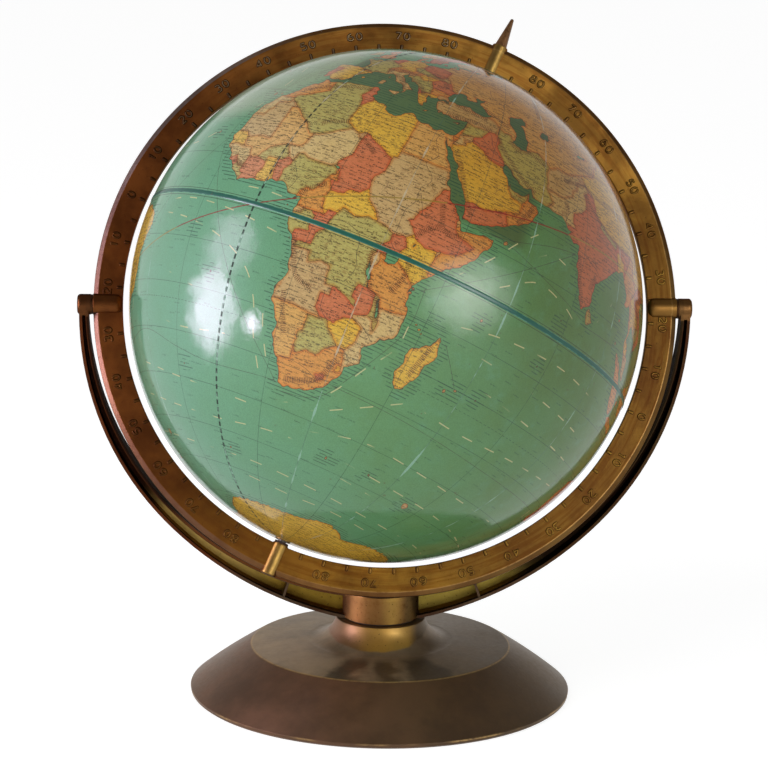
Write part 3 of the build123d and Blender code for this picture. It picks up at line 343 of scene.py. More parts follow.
# Countries as tint and outline, painted in this order; outlines run on out to sea
COUNTRIES = """
amber 20,90 200,90 200,60 150,40 131,42.5 131,44.9 135,48.4 130.8,48.8 125.8,53 120.5,53 116.7,49.9 107,49.7
102,51.3 98,50.5 92,50.8 87.5,49.2 85.5,47 82.5,45.2 80.3,42.2 73.5,39.5 71,38.4 67.8,37.2 64.5,37.2
61.2,35.6 60,37 57,38.2 54,37.3 49,38.4 48.3,39.4 46.5,38.9 44.8,39.7 43.5,41.1 41.5,41.5 36,43 30,45.3
28.2,45.5 26.6,48.2 24,50.5 23.6,52.7 23.5,54 19,54.4 19,56 22,58.5 27,60 30,61.5 31.5,63 29.5,66 28.5,69
31,70.5

yellow 4,58 11.2,58.9 12.5,61.5 12,63.5 15.5,67 20,69 25,69.5 28.5,70 31,70.5 25,73 8,66 2,60

salmon 11.2,58.9 12.5,61.5 12,63.5 15.5,67 20,69 23.7,67.9 24,66 22,64 18,61 20,58 14,55 12,56

beige 20.5,69.1 23.7,67.9 24,66 21,63.5 20,60 25,59.8 28,60.5 31.5,63 29.5,66 28.5,69 26,69.8

orange 7.5,55 12.5,54.5 13,56 10.5,58.2 7.5,57.2

orange -8,49.5 2.5,50.8 2.5,53 0,61 -9,61 -5.3,55.2

olive -11,51 -6,51.8 -5.3,55.2 -7,55.8 -11,55.5

yellow 6,51.5 7.2,54 8.5,55 14.3,54.2 14.7,51.2 12.2,50.3 13.8,48.7 13,47.6 7.6,47.6 8.2,49 6.2,49.5

salmon 2.5,51.2 4.2,50 6.2,49.5 6,51.5 7.2,53.9 4,53.5

salmon 14.3,54.2 19,54.6 23.5,54 23.6,52.7 24,50.5 22.7,49.2 19,49.5 14.7,51.2

olive 12.2,50.3 14.7,51.2 19,49.5 22.5,49 18.8,48 17,48.2 13.8,48.7

orange 6,46.2 7.6,47.6 13,47.6 13.8,48.7 17,48.2 16.1,46.9 12.4,46.7 9,45.9

yellow 16.1,46.9 17,48.2 18.8,48 22.7,48.2 21,46.2 18.5,45.8

salmon 20.3,46 22.7,48.2 26.6,48.2 28.2,45.5 30,45.2 28.7,43.7 22.5,43.9

orange 22.5,43.9 28.7,43.7 28,42 26.3,41.7 22.9,41.4

olive 13.5,45.5 16.1,46.9 18.5,45.8 21,46.2 22.5,43.9 22.9,41.4 20.5,41 19.4,42 15,43 13.3,44.8

salmon 19.4,42 20.5,41 21,40.7 20,39.6 19,40.5

yellow 20,39.6 21,40.7 22.9,41.4 26.3,41.7 27,37 26.5,34.5 20,36

beige 6.7,45 7,46 9,45.9 12.4,46.7 13.7,45.7 12.8,44.6 14.5,43.3 19,40.5 17,37 12,36 7.8,38.5 7.8,41.2
7.5,43.6

olive -2,43.3 3.2,42.5 8,41.2 9.8,42 9.6,43.2 7.5,43.7 6.7,45 6,46.2 7.6,47.6 8.2,49 6.2,49.5 4.2,50 2.5,51.2
-2,50.2 -6,48.5 -3,46

yellow -9.5,44 -1.8,43.6 3.4,42.4 4.5,40 -2,36.2 -5.6,35.95 -7.4,36.5 -7,39.5 -6.3,41.6 -8.2,42 -10,42

salmon -7.4,36.5 -7,39.5 -6.3,41.6 -8.2,42 -10,42 -10,36.5

tan 25.5,42 28,42.3 41.5,41.5 43.5,41.1 44.8,39.7 44.5,37.2 42.3,37.2 38,36.7 36.2,35.8 35,36 27,35.8 25.5,39

yellow 34,29.6 36,29.2 39,32 42,31 44.7,29.2 47.5,29.1 50,28 52,24.3 52,23 55.2,22.7 55.8,20 52,19 47,17
44,17.4 42,16.4 38,21 34,27

olive 35.5,36.5 38,36.7 42.3,37.2 41,34.4 38.8,33.4 36,32.5 35.8,34.7 35,35.8

orange 35.8,34.7 36,33 35.5,31.5 35,29.4 34.2,31.2 34,33

beige 35.6,32.6 36.5,32.4 38.8,33.4 39,32 37,31.5 38,30.5 36,29.2 35,29.4 35.5,31.5

salmon 42.3,37.2 44.8,37.2 46,35.5 45.5,33.8 47.8,31 48.7,29.9 47.5,29.1 44.7,29.2 42,31 39,32 38.8,33.4
41,34.4

olive 44.8,39.7 46.5,38.9 48.3,39.4 49,38.4 54,37.3 57,38.2 60,37 61.2,35.6 60.6,33.7 61,31.4 60.9,29.8
63.2,27.2 61.6,25 57,25 54,26 50,29 48.6,29.9 47.8,31 45.5,33.8 46,35.5 44.8,37.2

salmon 42,16.4 44,17.4 47,17 52,19 53,16.6 54,15 44,11.5 42,14

orange 52,19 55,20 55.2,22.7 56,24.2 56.3,26.5 61,24 60,20 54,15 53,16.6

olive 51,24.3 52,23 55.2,22.7 56,24.2 56.2,26.4 51,26.5

tan 61.2,35.6 64.5,37.2 67.8,37.2 71,38.4 74.9,37.3 71.5,36.5 71.2,34.4 69.5,33.3 69.3,31.8 66.4,29.9
60.9,29.8 61,31.4 60.6,33.7

beige 60.9,29.8 66.4,29.9 69.3,31.8 69.5,33.3 71.2,34.4 71.5,36.5 74.9,37.2 76,35.7 74,34.7 74.5,32.9 74.6,31
72.9,29 70.2,27.9 70,25.6 71,24.4 68.8,24.2 66,24 61.6,24.5 63.2,27.2

yellow 73.5,39.5 80.3,42.2 82.5,45.2 85.5,47 87.5,49.2 91,45.2 96,42.8 105,41.7 111.9,43.7 115.7,46
119.8,46.7 116.7,49.9 120.5,53 125.8,53 130.8,48.8 135,48.4 131,44.9 131,42.5 128,42 124.4,40 124,30 118,22
112,18 108,21.5 105.5,23 102,22.4 101,21.5 98.5,24 98.7,27.5 97.3,28.2 92,27.8 88.8,28 84,28.5 81,30.2
78.7,31.5 78,35.5 75,37.2

orange 87.5,49.2 92,50.8 98,50.5 102,51.3 107,49.7 116.7,49.9 119.8,46.7 115.7,46 111.9,43.7 105,41.7 96,42.8
91,45.2

salmon 66,22 68.8,24.2 71,24.4 70,25.6 70.2,27.9 72.9,29 74.6,31 74.5,32.9 74,34.7 76,35.7 78,35.5 78.7,31.5
81,30.2 84,28.5 88.8,28 92,27.8 97.3,28.2 94.5,25 93,22 88,18 81,10.4 79,9.2 77,6 72,10

olive 79,9.2 81,10.4 83,8 81,5 79,6

olive 81,30.2 84,28.5 88.1,27.9 88,26.4 84,27.4 80.2,28.8

yellow 88.1,26.2 89.8,26 92.4,25 92.3,23 91.8,21 89,21 88.7,24.3

orange 92.2,21 92.7,22 94.5,25 97.3,28.2 98.7,27.5 98.5,24 101,21.5 97.5,18.5 98.5,15.5 99,12 98,10 93,15

yellow 97.5,18.5 100,20.3 101,17.7 104.8,16 105.5,14.3 102.4,13.5 102.8,11.5 100.5,12 101.5,6.6 101,5.7
100,6.5 98,8 99,11.5 98.5,15.5

salmon 101,21.5 102.2,22.4 105.5,23 108,21.5 110,16 110,11 104.5,8 103,10.5 102.4,13.5 105.5,14.3 104.8,16
101,17.7 100,20.3

olive 102.4,13.5 105.5,14.3 107.5,14.4 106.2,11.5 104.4,10.4 102.8,11.3

olive 124.4,40 128,42 130.8,42.4 130,35 127,33.5 124,35

salmon 128,30 134,32 142,34 147,44 141,46 129.5,34.5

orange 94,6 99.5,3 104,1 109.5,1.8 114,1 117.8,4 120,2 127,3 131,0 141,0 141,-12 118,-12 104,-9 94,2

olive 109.5,1.8 114,1 117.8,4 119.5,5 117,8 109,2.5

yellow 117,8 119.5,5 127,5 127,20 119,20

olive 141,0 156,0 156,-12 141,-12

salmon 110,-36 129,-36 129,-12 110,-20

yellow 129,-26 138,-26 138,-9.5 129,-9.5

olive 129,-26 141,-26 141,-39 129,-34

orange 138,-26 141,-26 141,-29 156,-29 154,-20 146,-10.3 138,-10.3

yellow 141,-29 156,-29 154,-37.5 149,-37 141,-34

salmon 141,-34 149,-37 150.5,-37.5 149,-45 141,-44

yellow 165,-48 180,-48 180,-33 165,-33

yellow -205,-60 205,-60 205,-95 -205,-95

# Africa
orange 15,-28.6 20,-28.4 20,-24.8 20.7,-26.8 23,-25.4 25.5,-25.7 26.8,-24 29.4,-22.2 31.3,-22.4 32,-24.5
32,-26.8 33.5,-27 32,-32 20,-37 15,-33

orange -5,36.5 -2.2,35.5 -1.7,33 -1.2,32.2 -3.5,31 -5.5,29.6 -8.7,28.7 -8.7,27.7 -13.5,27.7 -14,30 -8,36

beige -13.5,27.7 -8.7,27.7 -8.7,26 -12,26 -12,23.4 -13,23 -13,21.3 -17.5,21.3 -18,24

tan -17.5,21.3 -13,21.3 -13,23 -12,23.4 -12,26 -8.7,26 -8.7,27.3 -4.8,25 -6.5,25 -5.5,15.5 -9.3,15.5 -12,14.8
-13.5,16.1 -16.5,16.1 -18,18

olive -2.2,35.5 -1.7,33 -1.2,32.2 -3.5,31 -5.5,29.6 -8.7,28.7 -8.7,27.3 -4.8,25 1.2,21.1 3.2,19 4.2,19.2
5.8,19.5 12,23.5 10,24.5 9.5,26.5 9.9,28 9.5,30.2 9,32 7.5,33.5 8.2,35 8.6,37.5 0,37.5

salmon 8.6,37.5 8.2,35 7.5,33.5 9,32 9.5,30.2 10.3,31.5 11.5,32.5 11.6,33.5 12,37.5

yellow 11.6,33.5 11.5,32.5 10.3,31.5 9.5,30.2 9.9,28 9.5,26.5 10,24.5 12,23.5 14.2,22.6 15.9,23.4 24,19.5
24,20 25,20 25,29.5 24.8,31.5 25.2,32.5 20,34

amber 25.2,32.5 24.8,31.5 25,29.5 25,22 37.5,22 35,26.5 34.9,29.5 34.2,31.2 34,32.5

amber -12,14.8 -9.3,15.5 -5.5,15.5 -6.5,25 -4.8,25 1.2,21.1 3.2,19 4.2,19.2 4.2,16.8 3.5,15.4 0.2,15 -2,14.2
-4,13 -5.3,11.5 -5.5,10.4 -8,10.2 -9,12.3 -11.4,12.2 -12,13.5

yellow -18,16.1 -13.5,16.1 -12,14.8 -12,13.5 -11.4,12.3 -18,12.4

beige -18,12.4 -13.7,12.6 -11.4,12.2 -9,12.3 -8,10.2 -8,7.6 -9.4,7.4 -10.5,8.3 -11.5,9.9 -13.3,9 -15,9.5

salmon -14,9.2 -13.3,9 -11.5,9.9 -10.5,8.3 -11.5,6.9 -14,7.5

olive -11.5,6.9 -10.5,8.3 -9.4,7.4 -8.4,7.6 -8.3,6.3 -7.5,5.8 -7.5,4 -12,6

salmon -8.4,7.6 -8,10.2 -5.5,10.4 -2.8,9.7 -2.7,8 -3.2,6.5 -2.8,5 -3,4 -7.5,4 -7.5,5.8 -8.3,6.3

olive -5.5,10.4 -5.3,11.5 -4,13 -2,14.2 0.2,15 2.2,12.5 0.9,11 -2.8,11 -2.8,9.7

yellow -2.8,11 0,11 0.5,8.5 1.2,6 1,4 -3,4 -2.8,5 -3.2,6.5 -2.7,8 -2.8,9.7

salmon 0,11 0.9,11 2.3,12 3.6,11.7 3.7,10.5 2.7,9 2.7,5.5 1.2,5 1.2,6 0.5,8.5

beige 0.2,15 3.5,15.4 4.2,16.8 4.2,19.2 5.8,19.5 12,23.5 14.2,22.6 15.5,21 15.5,16.9 13.5,14.5 13.6,13.7
12.5,13.1 9,12.8 7,13.1 5.3,13.8 4.1,13.5 3.6,11.7 2.3,12

olive 2.7,5 2.7,9 3.7,10.5 3.6,11.7 4.1,13.5 5.3,13.8 7,13.1 9,12.8 12.5,13.1 13.6,13.7 14.5,11.5 13.5,10.5
12.5,8.7 11.5,6.6 9.8,6.8 8.8,5.8 8.5,4 5,3.5

orange 8.5,3.5 8.8,5.8 9.8,6.8 11.5,6.6 12.5,8.7 13.5,10.5 14.5,11.5 14.2,12.8 15,12 15.6,10 14,10 15.3,7.5
14.5,6 15.1,4 16.1,2.2 9,2.3

salmon 13.6,13.7 13.5,14.5 15.5,16.9 15.5,21 15.9,23.4 24,19.5 24,15.7 22.5,14.2 22.3,12.7 22.9,11 21,9.5
19,9 18,8 15.4,7.5 14,10 15.6,10 15,12 14.2,12.8

yellow 15.3,7.5 18,8 19,9 21,9.5 22.9,11 23.7,8.7 25.5,7.5 27.4,5 25,5 22.5,4.1 19.5,5.1 18.6,3.5 16.6,3.5
16.1,2.2 15.1,4 14.5,6

tan 24,19.5 24,20 25,20 25,22 37.5,22 39,18 37,17 36.4,15 36,12.7 34.5,10.8 34,8.5 33,8 35.3,5.4 34,4.2
31,3.7 29.5,4.5 27.4,5 25.5,7.5 23.7,8.7 22.9,11 22.3,12.7 22.5,14.2 24,15.7

salmon 39,18 37,17 36.4,15 36,12.7 34.5,10.8 34,8.5 33,8 35.3,5.4 36,4.5 38,3.6 41,4 45,5 48,8 44,9 42.8,10.5
42.5,12 43.2,12.5 40.5,15.8

orange 43.3,11.9 42.8,10.5 44,9 48,8 45,5 42,4.2 41,2.8 41,-1 41.6,-1.8 43,-2 53,10 52,13 45,12

beige 42.5,12 42.8,10.5 43.6,11.4 43.5,12.6

yellow 34,4.2 35.3,5.4 36,4.5 38,3.6 41,4 41,-1 41.6,-1.8 40,-5 39.3,-4.7 37.7,-3.4 34,-1 34.1,0.5 35,2

salmon 31,3.7 34,4.2 35,2 34.1,0.5 34,-1 30.5,-1 29.6,-1.3 29.6,0.5 31.3,2.2

orange 30.5,-1 34,-1 37.7,-3.4 39.3,-4.7 41,-5 41.5,-10.5 37,-11.6 34.7,-11.5 34,-9.6 31,-8.6 29.4,-4.5
30.7,-3.3

olive 12.2,-6 13,-4.8 16,-4.5 16.2,-2 17.7,-0.5 18,2 18.6,3.5 19.5,5.1 22.5,4.1 25,5 27.4,5 29.5,4.5 31,3.7
31.3,2.2 29.6,0.5 29.6,-1.3 29,-2.8 29.4,-4.5 30.2,-7 31,-8.6 28.7,-8.5 28.5,-11.8 29.8,-12.2 29.8,-13.4
27,-11.8 24,-11 22.2,-11.2 21.8,-7.3 19.5,-7 17,-8 16.5,-5.9 13,-5.9

beige 29,-1.5 30.5,-1 30.8,-2.4 30.5,-3.6 29.4,-4.5 29,-2.8

salmon 10.5,-5 13,-4.8 16,-4.5 16.2,-2 17.7,-0.5 18,2 18.6,3.5 16.6,3.5 16.1,2.2 13.3,2.2 14.4,1.3 14,-0.5
14.4,-2 11.6,-2.5 11.2,-3.8

olive 8,1 9.8,1 11.3,1 11.3,2.2 13.3,2.2 14.4,1.3 14,-0.5 14.4,-2 11.6,-2.5 11.2,-3.8 10,-4.5 8,-2

beige 9,2.3 11.3,2.2 11.3,1 9,1

tan 11.5,-6 13,-5.9 16.5,-5.9 17,-8 19.5,-7 21.8,-7.3 22.2,-11.2 24,-11 24,-13 22,-13 22,-16.2 23.4,-17.6
21,-18 18.5,-17.4 11,-17.2 11,-10

salmon 22,-13 24,-13 24,-11 27,-11.8 29.8,-13.4 29.8,-12.2 28.5,-11.8 28.7,-8.5 31,-8.6 33,-9.4 33.3,-12
32.9,-14 30.2,-15 30.4,-15.7 28.8,-16 27,-18 23.4,-17.6 22,-16.2

beige 41.5,-10.5 37,-11.6 34.7,-11.5 35.8,-14.5 35.2,-17 34.5,-14.5 33,-14 30.2,-15 30.4,-16 33,-16.7
32.8,-20 31.3,-22.4 32,-24.5 32,-26.8 33.5,-27 37,-24 42,-15

olive 33,-9.4 34,-9.6 34.7,-11.5 35.8,-14.5 35.2,-17 34.5,-14.5 33,-14 33.3,-12

yellow 25.3,-17.8 27,-18 28.8,-16 30.4,-15.7 33,-16.7 32.8,-20 31.3,-22.4 29.4,-22.2 27.7,-20.6 26.2,-19.5

olive 20,-22 21,-22 21,-18.3 23.4,-18 25.3,-17.8 26.2,-19.5 27.7,-20.6 29.4,-22.2 26.8,-24 25.5,-25.7
23,-25.4 20.7,-26.8 20,-24.8

amber 11,-17.2 14,-17.4 18.5,-17.4 21,-18 23.4,-17.6 23.4,-18 21,-18.3 21,-22 20,-22 20,-28.4 15,-29 11,-20

salmon 27,-29.6 28.7,-28.7 29.4,-29.6 28,-30.6

yellow 31,-25.8 32.1,-26 32,-27.2 31,-27.2

yellow 42,-11.5 52,-11.5 52,-27 42,-27

# The Americas
salmon -141,72 -141,60.3 -137,59 -133,57 -130.1,55 -134,53 -125.5,48.3 -123,49 -95,49 -89.5,48 -84.5,46.5
-82.4,45.3 -82.5,42.5 -79,42.8 -76.5,44.2 -71.5,45 -69.2,47.4 -67.8,47 -67,44.8 -64,42 -50,46 -60,62 -75,77.5
-62,82.3 -90,85 -130,78

orange -141,72 -141,60.3 -137,59 -133,57 -130.1,55 -134,53 -170,50 -172,66 -157,73

yellow -126,48.4 -123,49 -95,49 -89.5,48 -84.5,46.5 -82.4,45.3 -82.5,42.5 -79,42.8 -76.5,44.2 -71.5,45
-69.2,47.4 -67.8,47 -67,44.5 -74,35 -79,25 -84,24 -97,25.8 -99.5,27.5 -101.5,29.8 -104.5,29.6 -106.5,31.8
-111,31.3 -114.8,32.5 -117.2,32.5 -126,38

olive -117.2,32.5 -114.8,32.5 -111,31.3 -106.5,31.8 -104.5,29.6 -101.5,29.8 -99.5,27.5 -97,25.8 -95,24 -86,22
-88,18 -91,17.2 -92.2,14.5 -95,15 -107,18 -113,22 -118,30

orange -92.2,14.5 -91,17.2 -88,18.5 -83,15.5 -82.5,10.5 -77.4,8.8 -77.9,7 -84,7.5 -88,12

beige -74,83.9 -10,84 -17,70 -43,59 -56,66 -60,75 -75,77.6

salmon -86,24 -74,22 -60,19 -60,12 -70,17 -79,17

olive -69,-22 -62.5,-22 -57.5,-25.5 -53.7,-27.2 -57.6,-30.2 -58.4,-34 -54,-37 -60,-56 -68.6,-56 -68.6,-52.4
-73,-49 -71.5,-44 -71.8,-39 -70,-34 -70,-29 -68.3,-24.5

amber -70.4,-18.3 -69,-18 -68.3,-24.5 -70,-29 -70,-34 -71.8,-39 -71.5,-44 -73,-49 -68.6,-52.4 -68.6,-56
-80,-56 -78,-40 -73,-25 -71.5,-18.3

yellow -50,6 -51.5,4 -54.5,2.3 -58,1.5 -60.5,5 -64,4 -64,2 -67,1.3 -69.5,-1 -70,-4.3 -73.8,-7.2 -70.5,-11
-68.5,-11 -65.3,-12 -60.2,-14 -57.6,-18 -57.8,-22.1 -54.4,-24 -53.7,-27.2 -57.5,-30.2 -53,-34 -45,-30 -33,-8
-34,-3

tan -82,-3.4 -80.3,-3.4 -79,-5 -75.2,-0.2 -70,-4.3 -73.8,-7.2 -70.5,-11 -69,-12.5 -69.5,-17.5 -71.5,-18.3
-80,-14 -83,-6

salmon -69.5,-17.5 -69,-12.5 -68.5,-11 -65.3,-12 -60.2,-14 -57.6,-18 -58,-20 -62.5,-22 -67.8,-22.8 -69,-18

orange -62.3,-20.5 -58,-20 -57.8,-22.1 -54.4,-24 -54.6,-25.6 -58.6,-27.2 -57.6,-25.4 -62.6,-22.2

salmon -57.6,-30.2 -53,-34 -54,-36 -58.5,-34

olive -82,-3.4 -80.3,-3.4 -79,-5 -75.2,-0.2 -79,1.4 -82,1

orange -79,1.4 -75.2,-0.2 -70,-4.3 -69.5,-1 -67,1.3 -67.4,6 -72.5,9 -71.2,12.4 -73,13 -77.4,8.6 -78,7 -80,2

salmon -71.2,12.4 -72.5,9 -67.4,6 -67,1.3 -64,2 -64,4 -60.5,5 -59.5,9 -62,12

olive -60,8.5 -60.5,5 -58,1.5 -54.5,2.3 -51.5,4 -51,6 -57,8
"""

# Rivers on the land and sailing lines over the sea
LINES = """
31.2,30.2 31,28 32.7,25.5 32.9,24 31.3,21.5 33.5,19.3 33.9,17.5 32.5,15.6 32.7,12 31.5,9.5 31.6,5 31.4,2.3
33.2,0.4

32.5,15.6 34.4,11.8 35.5,10 37.3,11.6

12.4,-6 15.3,-4.3 17.5,-1 18.3,1.8 22,2.1 25.2,0.5 26,-3 27,-6 25.8,-9.5

17.5,-0.6 18.6,4.3 22.5,4.1 25,4.7

6,4.5 6.7,7.8 4.5,11 2.2,13.5 0,16.2 -2.8,16.8 -4.5,14.4 -8,12.6 -10.5,9.6

6.7,7.8 9.5,7.8 13.4,9.3

-16.4,16 -14,16.5 -12.2,14.7 -11,12.5

36.2,-18.7 34,-17 31,-15.6 28.5,-16.5 25.8,-17.9 23.2,-16 22.8,-12.5

16.5,-28.6 20,-28.5 24.5,-29.2 27.5,-30.5 29,-29.3

33.5,-25.2 32,-23 29.5,-22.2 27,-23.7

48.5,30 47.4,31 44.4,33.3 43.1,36.3 40.2,37.9

47.4,31 44.3,32 41,34.5 38,36.8 39.5,39.7

67.5,24 68.4,26.8 70.8,29.2 72,33.8 75,35.5

89,22 88,24.5 83,25.4 80.3,26.4 78.2,29.8

82.3,16.8 79,18.7 74.5,20

29.6,45.2 27,44.1 22.7,44.4 20.4,44.8 18.9,47.5 16.4,48.2 12.1,49 9,48

47.9,46 44.5,48.7 47.5,52.5 49,55.7 44,56.3 38,57 33,57.2

32.3,46.6 35,47.8 34.5,48.5 31,50 30.5,52

39.3,47.1 43.5,48.8 40,50.5 39,53.5

60,43.8 62,41 66,37.5 70,37.3

61,46 66,44 69,41.5 74,41

69,66.5 66,63 69,61 68,58.2 73.5,55 80,50.5

82.5,71 86,67 90,61.5 93,56 94.5,51.7

127,72.5 124,67 129.7,62 120,60 108,55

141,53 137,50 131,48 123,53.4 116,50

121.7,31.5 116,29.8 111.3,30.6 106.5,29.6 101.5,26.2 97,32.5

119,37.7 114,35 110.3,35 111,40.4 107,40.6 103.5,36 97,35

106.7,9.9 105,12 104.8,16.5 102,18 100.5,21 97,31

-50,0.3 -55,-2.3 -60,-3.2 -67,-2.6 -73.5,-4 -75.5,-9

-58.4,-34 -60.6,-32 -58.7,-27.3 -54.5,-25.6 -51,-20

-89.3,29 -91.2,31 -90,35.1 -90.2,38.7 -91.3,43 -95,47

-90.2,38.7 -95,39.2 -96,42.5 -100.8,46.8 -107,47.8 -112,46

-134.5,69 -128,65 -121,62 -114,61

139,-35.3 142,-34.1 147,-36

-56,-35.5 -43,-32.5 -30,-30.7 -15,-33.6 -1.7,-35.1 14.6,-34.3 18,-34.2

18,-34.5 5,-22 -8,-5 -18.5,14 -16,28 -10.5,40

20,-36 27,-35 32.5,-31 41.5,-15 42,-4

45.3,12 55,13.5 65,17 72.5,18.8

45.3,12 54,12.5 66,9.5 79,6.3

31.5,-30.5 50,-31 80,-32.5 115,-32.5

41,-5 55,5 72,18.5

-34.5,-8 -25,4 -18,14.3

50.8,-12.5 57.5,-20

80,5.5 95,6.2

-73,40 -45,46 -20,50 -7,49.5

-80,9.8 -60,25 -30,40 -7,48

141,35 170,45 200,50 237,48

203,21 220,30 237,37.5
"""

# Ocean currents, drawn as rows of pale dashes
CURRENTS = """
-40,-45 -20,-47 0,-47.5 20,-46 40,-46 60,-47 85,-48 110,-50 140,-52 170,-54

-55,-53 -30,-55 -10,-56 15,-56 40,-57 70,-58 100,-58 140,-60

-35,-38 -18,-40 0,-41 16,-41.5

-28,-27 -14,-29 2,-28

12.5,-33 9.5,-26 7.5,-19 3,-13 -6,-8.5 -18,-6 -30,-5

14,-30 11.5,-24 10,-18

8,-4.5 -5,-2.5 -20,-1.5 -33,-3

-36.5,-12 -39,-20 -44,-28 -51,-36

-10,3 0,3.4 7,3

-17,25 -22,18 -30,13 -45,12

-20,-18 -10,-20 0,-20

95,-14 80,-13 65,-12 53,-11.5

100,-20 80,-19 62,-17.5 53,-17.5

105,-26 85,-27 65,-28 52,-27

52,-8 62,-6 78,-5 92,-6

42,-12.5 41.5,-18 37.5,-24 33,-31 27.5,-36 20,-38.5

49,-27.5 41,-32 33,-36 25,-39

47,1.5 52.5,8 57,14 61,18

56,3 64,8 72,7 77,5

62,13 66,15.5 70,15

84,8 88,14 87,18

30,-42.5 45,-39.5 60,-40 80,-41 105,-41

112,-35 109,-28 106,-22

45,-50.5 60,-51.5 75,-52.5

10,-61 30,-62 50,-61.5 70,-62

-75,34 -60,40 -40,45 -20,52 0,64 12,68

-80,26 -78,31 -74,36

-20,40 -17,33 -18,28

125,20 130,28 140,33 160,38 185,42 210,45

232,45 236,38 240,30 235,22

230,12 200,13 170,13 140,13

270,-4 240,-5 210,-6 180,-7 160,-7

285,-40 286,-30 284,-18 277,-8

155,-25 157,-32 156,-38

170,-50 200,-52 230,-55 260,-57 285,-58
"""

# Mountain ranges, drawn as rows of brown strokes
RANGES = """
-9,30.5 -5,32.5 -1,34 4,35.5 9,36

4,22 6,23.5 8,24 10,25

15,22 18,20.5 20,19

38,14.5 39,12 39.5,9.5 37,7 35.5,5

39.5,9.5 42,8.5 45,9.5

29.5,1 29,-3 31,-8 34,-11 35,-15

36,1 37,-3 35.5,-8

30.5,-24.5 29,-28.5 27,-31 22,-32.5 19.5,-33

14,-15 15,-19 17,-24

9,4.3 10.5,6.5 14,9

-12,9 -9,8 -7,7.5

12,-4 14,-9 16,-12 20,-13

48.5,-14 47.5,-18 46.5,-22

36,28 39,24 41,20 43.5,16 45,14

55,17.5 58,23 56.5,25

45,37 47,34 50,31.5 54,28.5 58,27

30,37 34,37.3 38,38 43,38

31,41 36,40.8 41,40.6

39,44 43,43 48,41.2

48,37.5 51,36 55,36.8 60,35.5

66,34.8 70,35.8 74,36.6

67,30 68,27 66,26

74,35 78,31.5 82,29.4 87,28 92,28 96,28.5

74,37.5 80,36 88,36.5 96,36

70,41.5 76,42 82,43 90,43.5

84,50 90,49 97,46.5

59,51 59,56 60,61 64,66

73.5,19.5 74.5,15 76.5,11 77.3,8.7

80,17 78.5,13

6.5,44.5 8,46.3 12,47 15,47

18,49.3 22,49 25,47.5 25.5,45.6 23,45.3

15,45 18,43.5 21,41.5 22,39.5

9,44.4 12.5,43.3 15,41 16,38.5

-1.5,43 2.5,42.5

-5,37 -2,37.5

7,60 11,62.5 15,66.5 20,68.8

-150,62 -138,60 -128,57 -121,52 -114,48 -110,43 -106,38 -105,33

-74,8 -76,3 -78.5,-2 -76.5,-10 -70,-16 -67.5,-22 -70,-32 -71.5,-41 -73,-50

-84,35 -80,38 -75,42 -70,45

-48,-26 -45,-22 -42,-18 -41,-12

145,-16 149,-23 152,-28 149,-35 146.5,-37

100,25 102,30 104,34
"""


def amount_property(name, description, default, **kind):
    """A number among the settings."""
    return bpy.props.FloatProperty(name=name, description=description, default=default, **kind)


def length_property(name, description, default):
    """A length in metres among the settings."""
    return amount_property(name, description, default, unit="LENGTH")


def angle_property(name, description, default):
    """An angle in radians among the settings."""
    return amount_property(name, description, default, subtype="ANGLE")


def count_property(name, description, default):
    """A whole number among the settings."""
    return bpy.props.IntProperty(name=name, description=description, default=default)


def colour_property(name, description, default):
    """A linear colour among the settings."""
    return bpy.props.FloatVectorProperty(name=name, description=description, default=default, subtype="COLOR")


class GlobeMapSettings(bpy.types.PropertyGroup):
    """Printed map on the ball."""

    spin: angle_property("Spin", "Turn of the prime meridian about the pole axis", radians(-124.4))
    rows: count_property("Rows", "Mesh rows from pole to pole on one gore", 521)
    columns: count_property("Columns", "Mesh columns across one gore", 89)
    gores: count_property("Gores", "Paper gores round the ball", 12)
    pole_hole: length_property("Pole hole", "Radius of the hole in the paper at each pole", 0.0049)
    tape_half_width: length_property("Tape half width", "Half the width of the tape over the equator", 0.0014)
    tape_rise: length_property("Tape rise", "Height of the tape above the paper", 0.0003)
    ocean: colour_property("Ocean", "Printed sea colour", (0.145, 0.38, 0.235))
    ocean_mid: colour_property("Yellowed ocean", "Sea colour under yellowed varnish", (0.122, 0.3, 0.12))
    # The aged ocean colour also holds painted shade for the right of the ball
    ocean_aged: colour_property("Aged and shaded ocean", "Sea colour under browned varnish", (0.09, 0.182, 0.042))
    yellow: colour_property("Yellow", "Land tint", (0.74, 0.46, 0.055))
    orange: colour_property("Orange", "Land tint", (0.69, 0.31, 0.067))
    salmon: colour_property("Salmon", "Land tint", (0.62, 0.19, 0.08))
    olive: colour_property("Olive", "Land tint", (0.47, 0.41, 0.12))
    tan: colour_property("Tan", "Land tint", (0.58, 0.39, 0.165))
    beige: colour_property("Beige", "Land tint", (0.64, 0.46, 0.19))
    amber: colour_property("Amber", "Land tint", (0.69, 0.39, 0.11))
    rose: colour_property("Rose", "Land tint", (0.62, 0.19, 0.11))


class GlobeMetalSettings(bpy.types.PropertyGroup):
    """Bronzed metal of the ring, cradle and base."""

    dark: colour_property("Dark", "Dark lacquer", (0.045, 0.012, 0.005))
    brown: colour_property("Brown", "Reddish brown lacquer", (0.115, 0.034, 0.011))
    gold: colour_property("Gold", "Golden bronze lacquer", (0.3, 0.155, 0.02))
    bright: colour_property("Bright", "Metal worn bright", (0.58, 0.36, 0.13))
    figure_height: length_property("Figure height", "Height of the figures on the ring", 0.0042)
    figure_rise: length_property("Figure rise", "How far the figures stand out of the ring", 0.00045)
    figure_radius: length_property("Figure radius", "Radius of the row of figures", 0.1652)
    figure_stroke: length_property("Figure stroke", "Half the width of a figure's stroke", 0.00072)
    tick_length: length_property("Tick length", "Length of the ticks between the figures", 0.0038)
    tick_stroke: length_property("Tick stroke", "Half the width of a tick", 0.001)


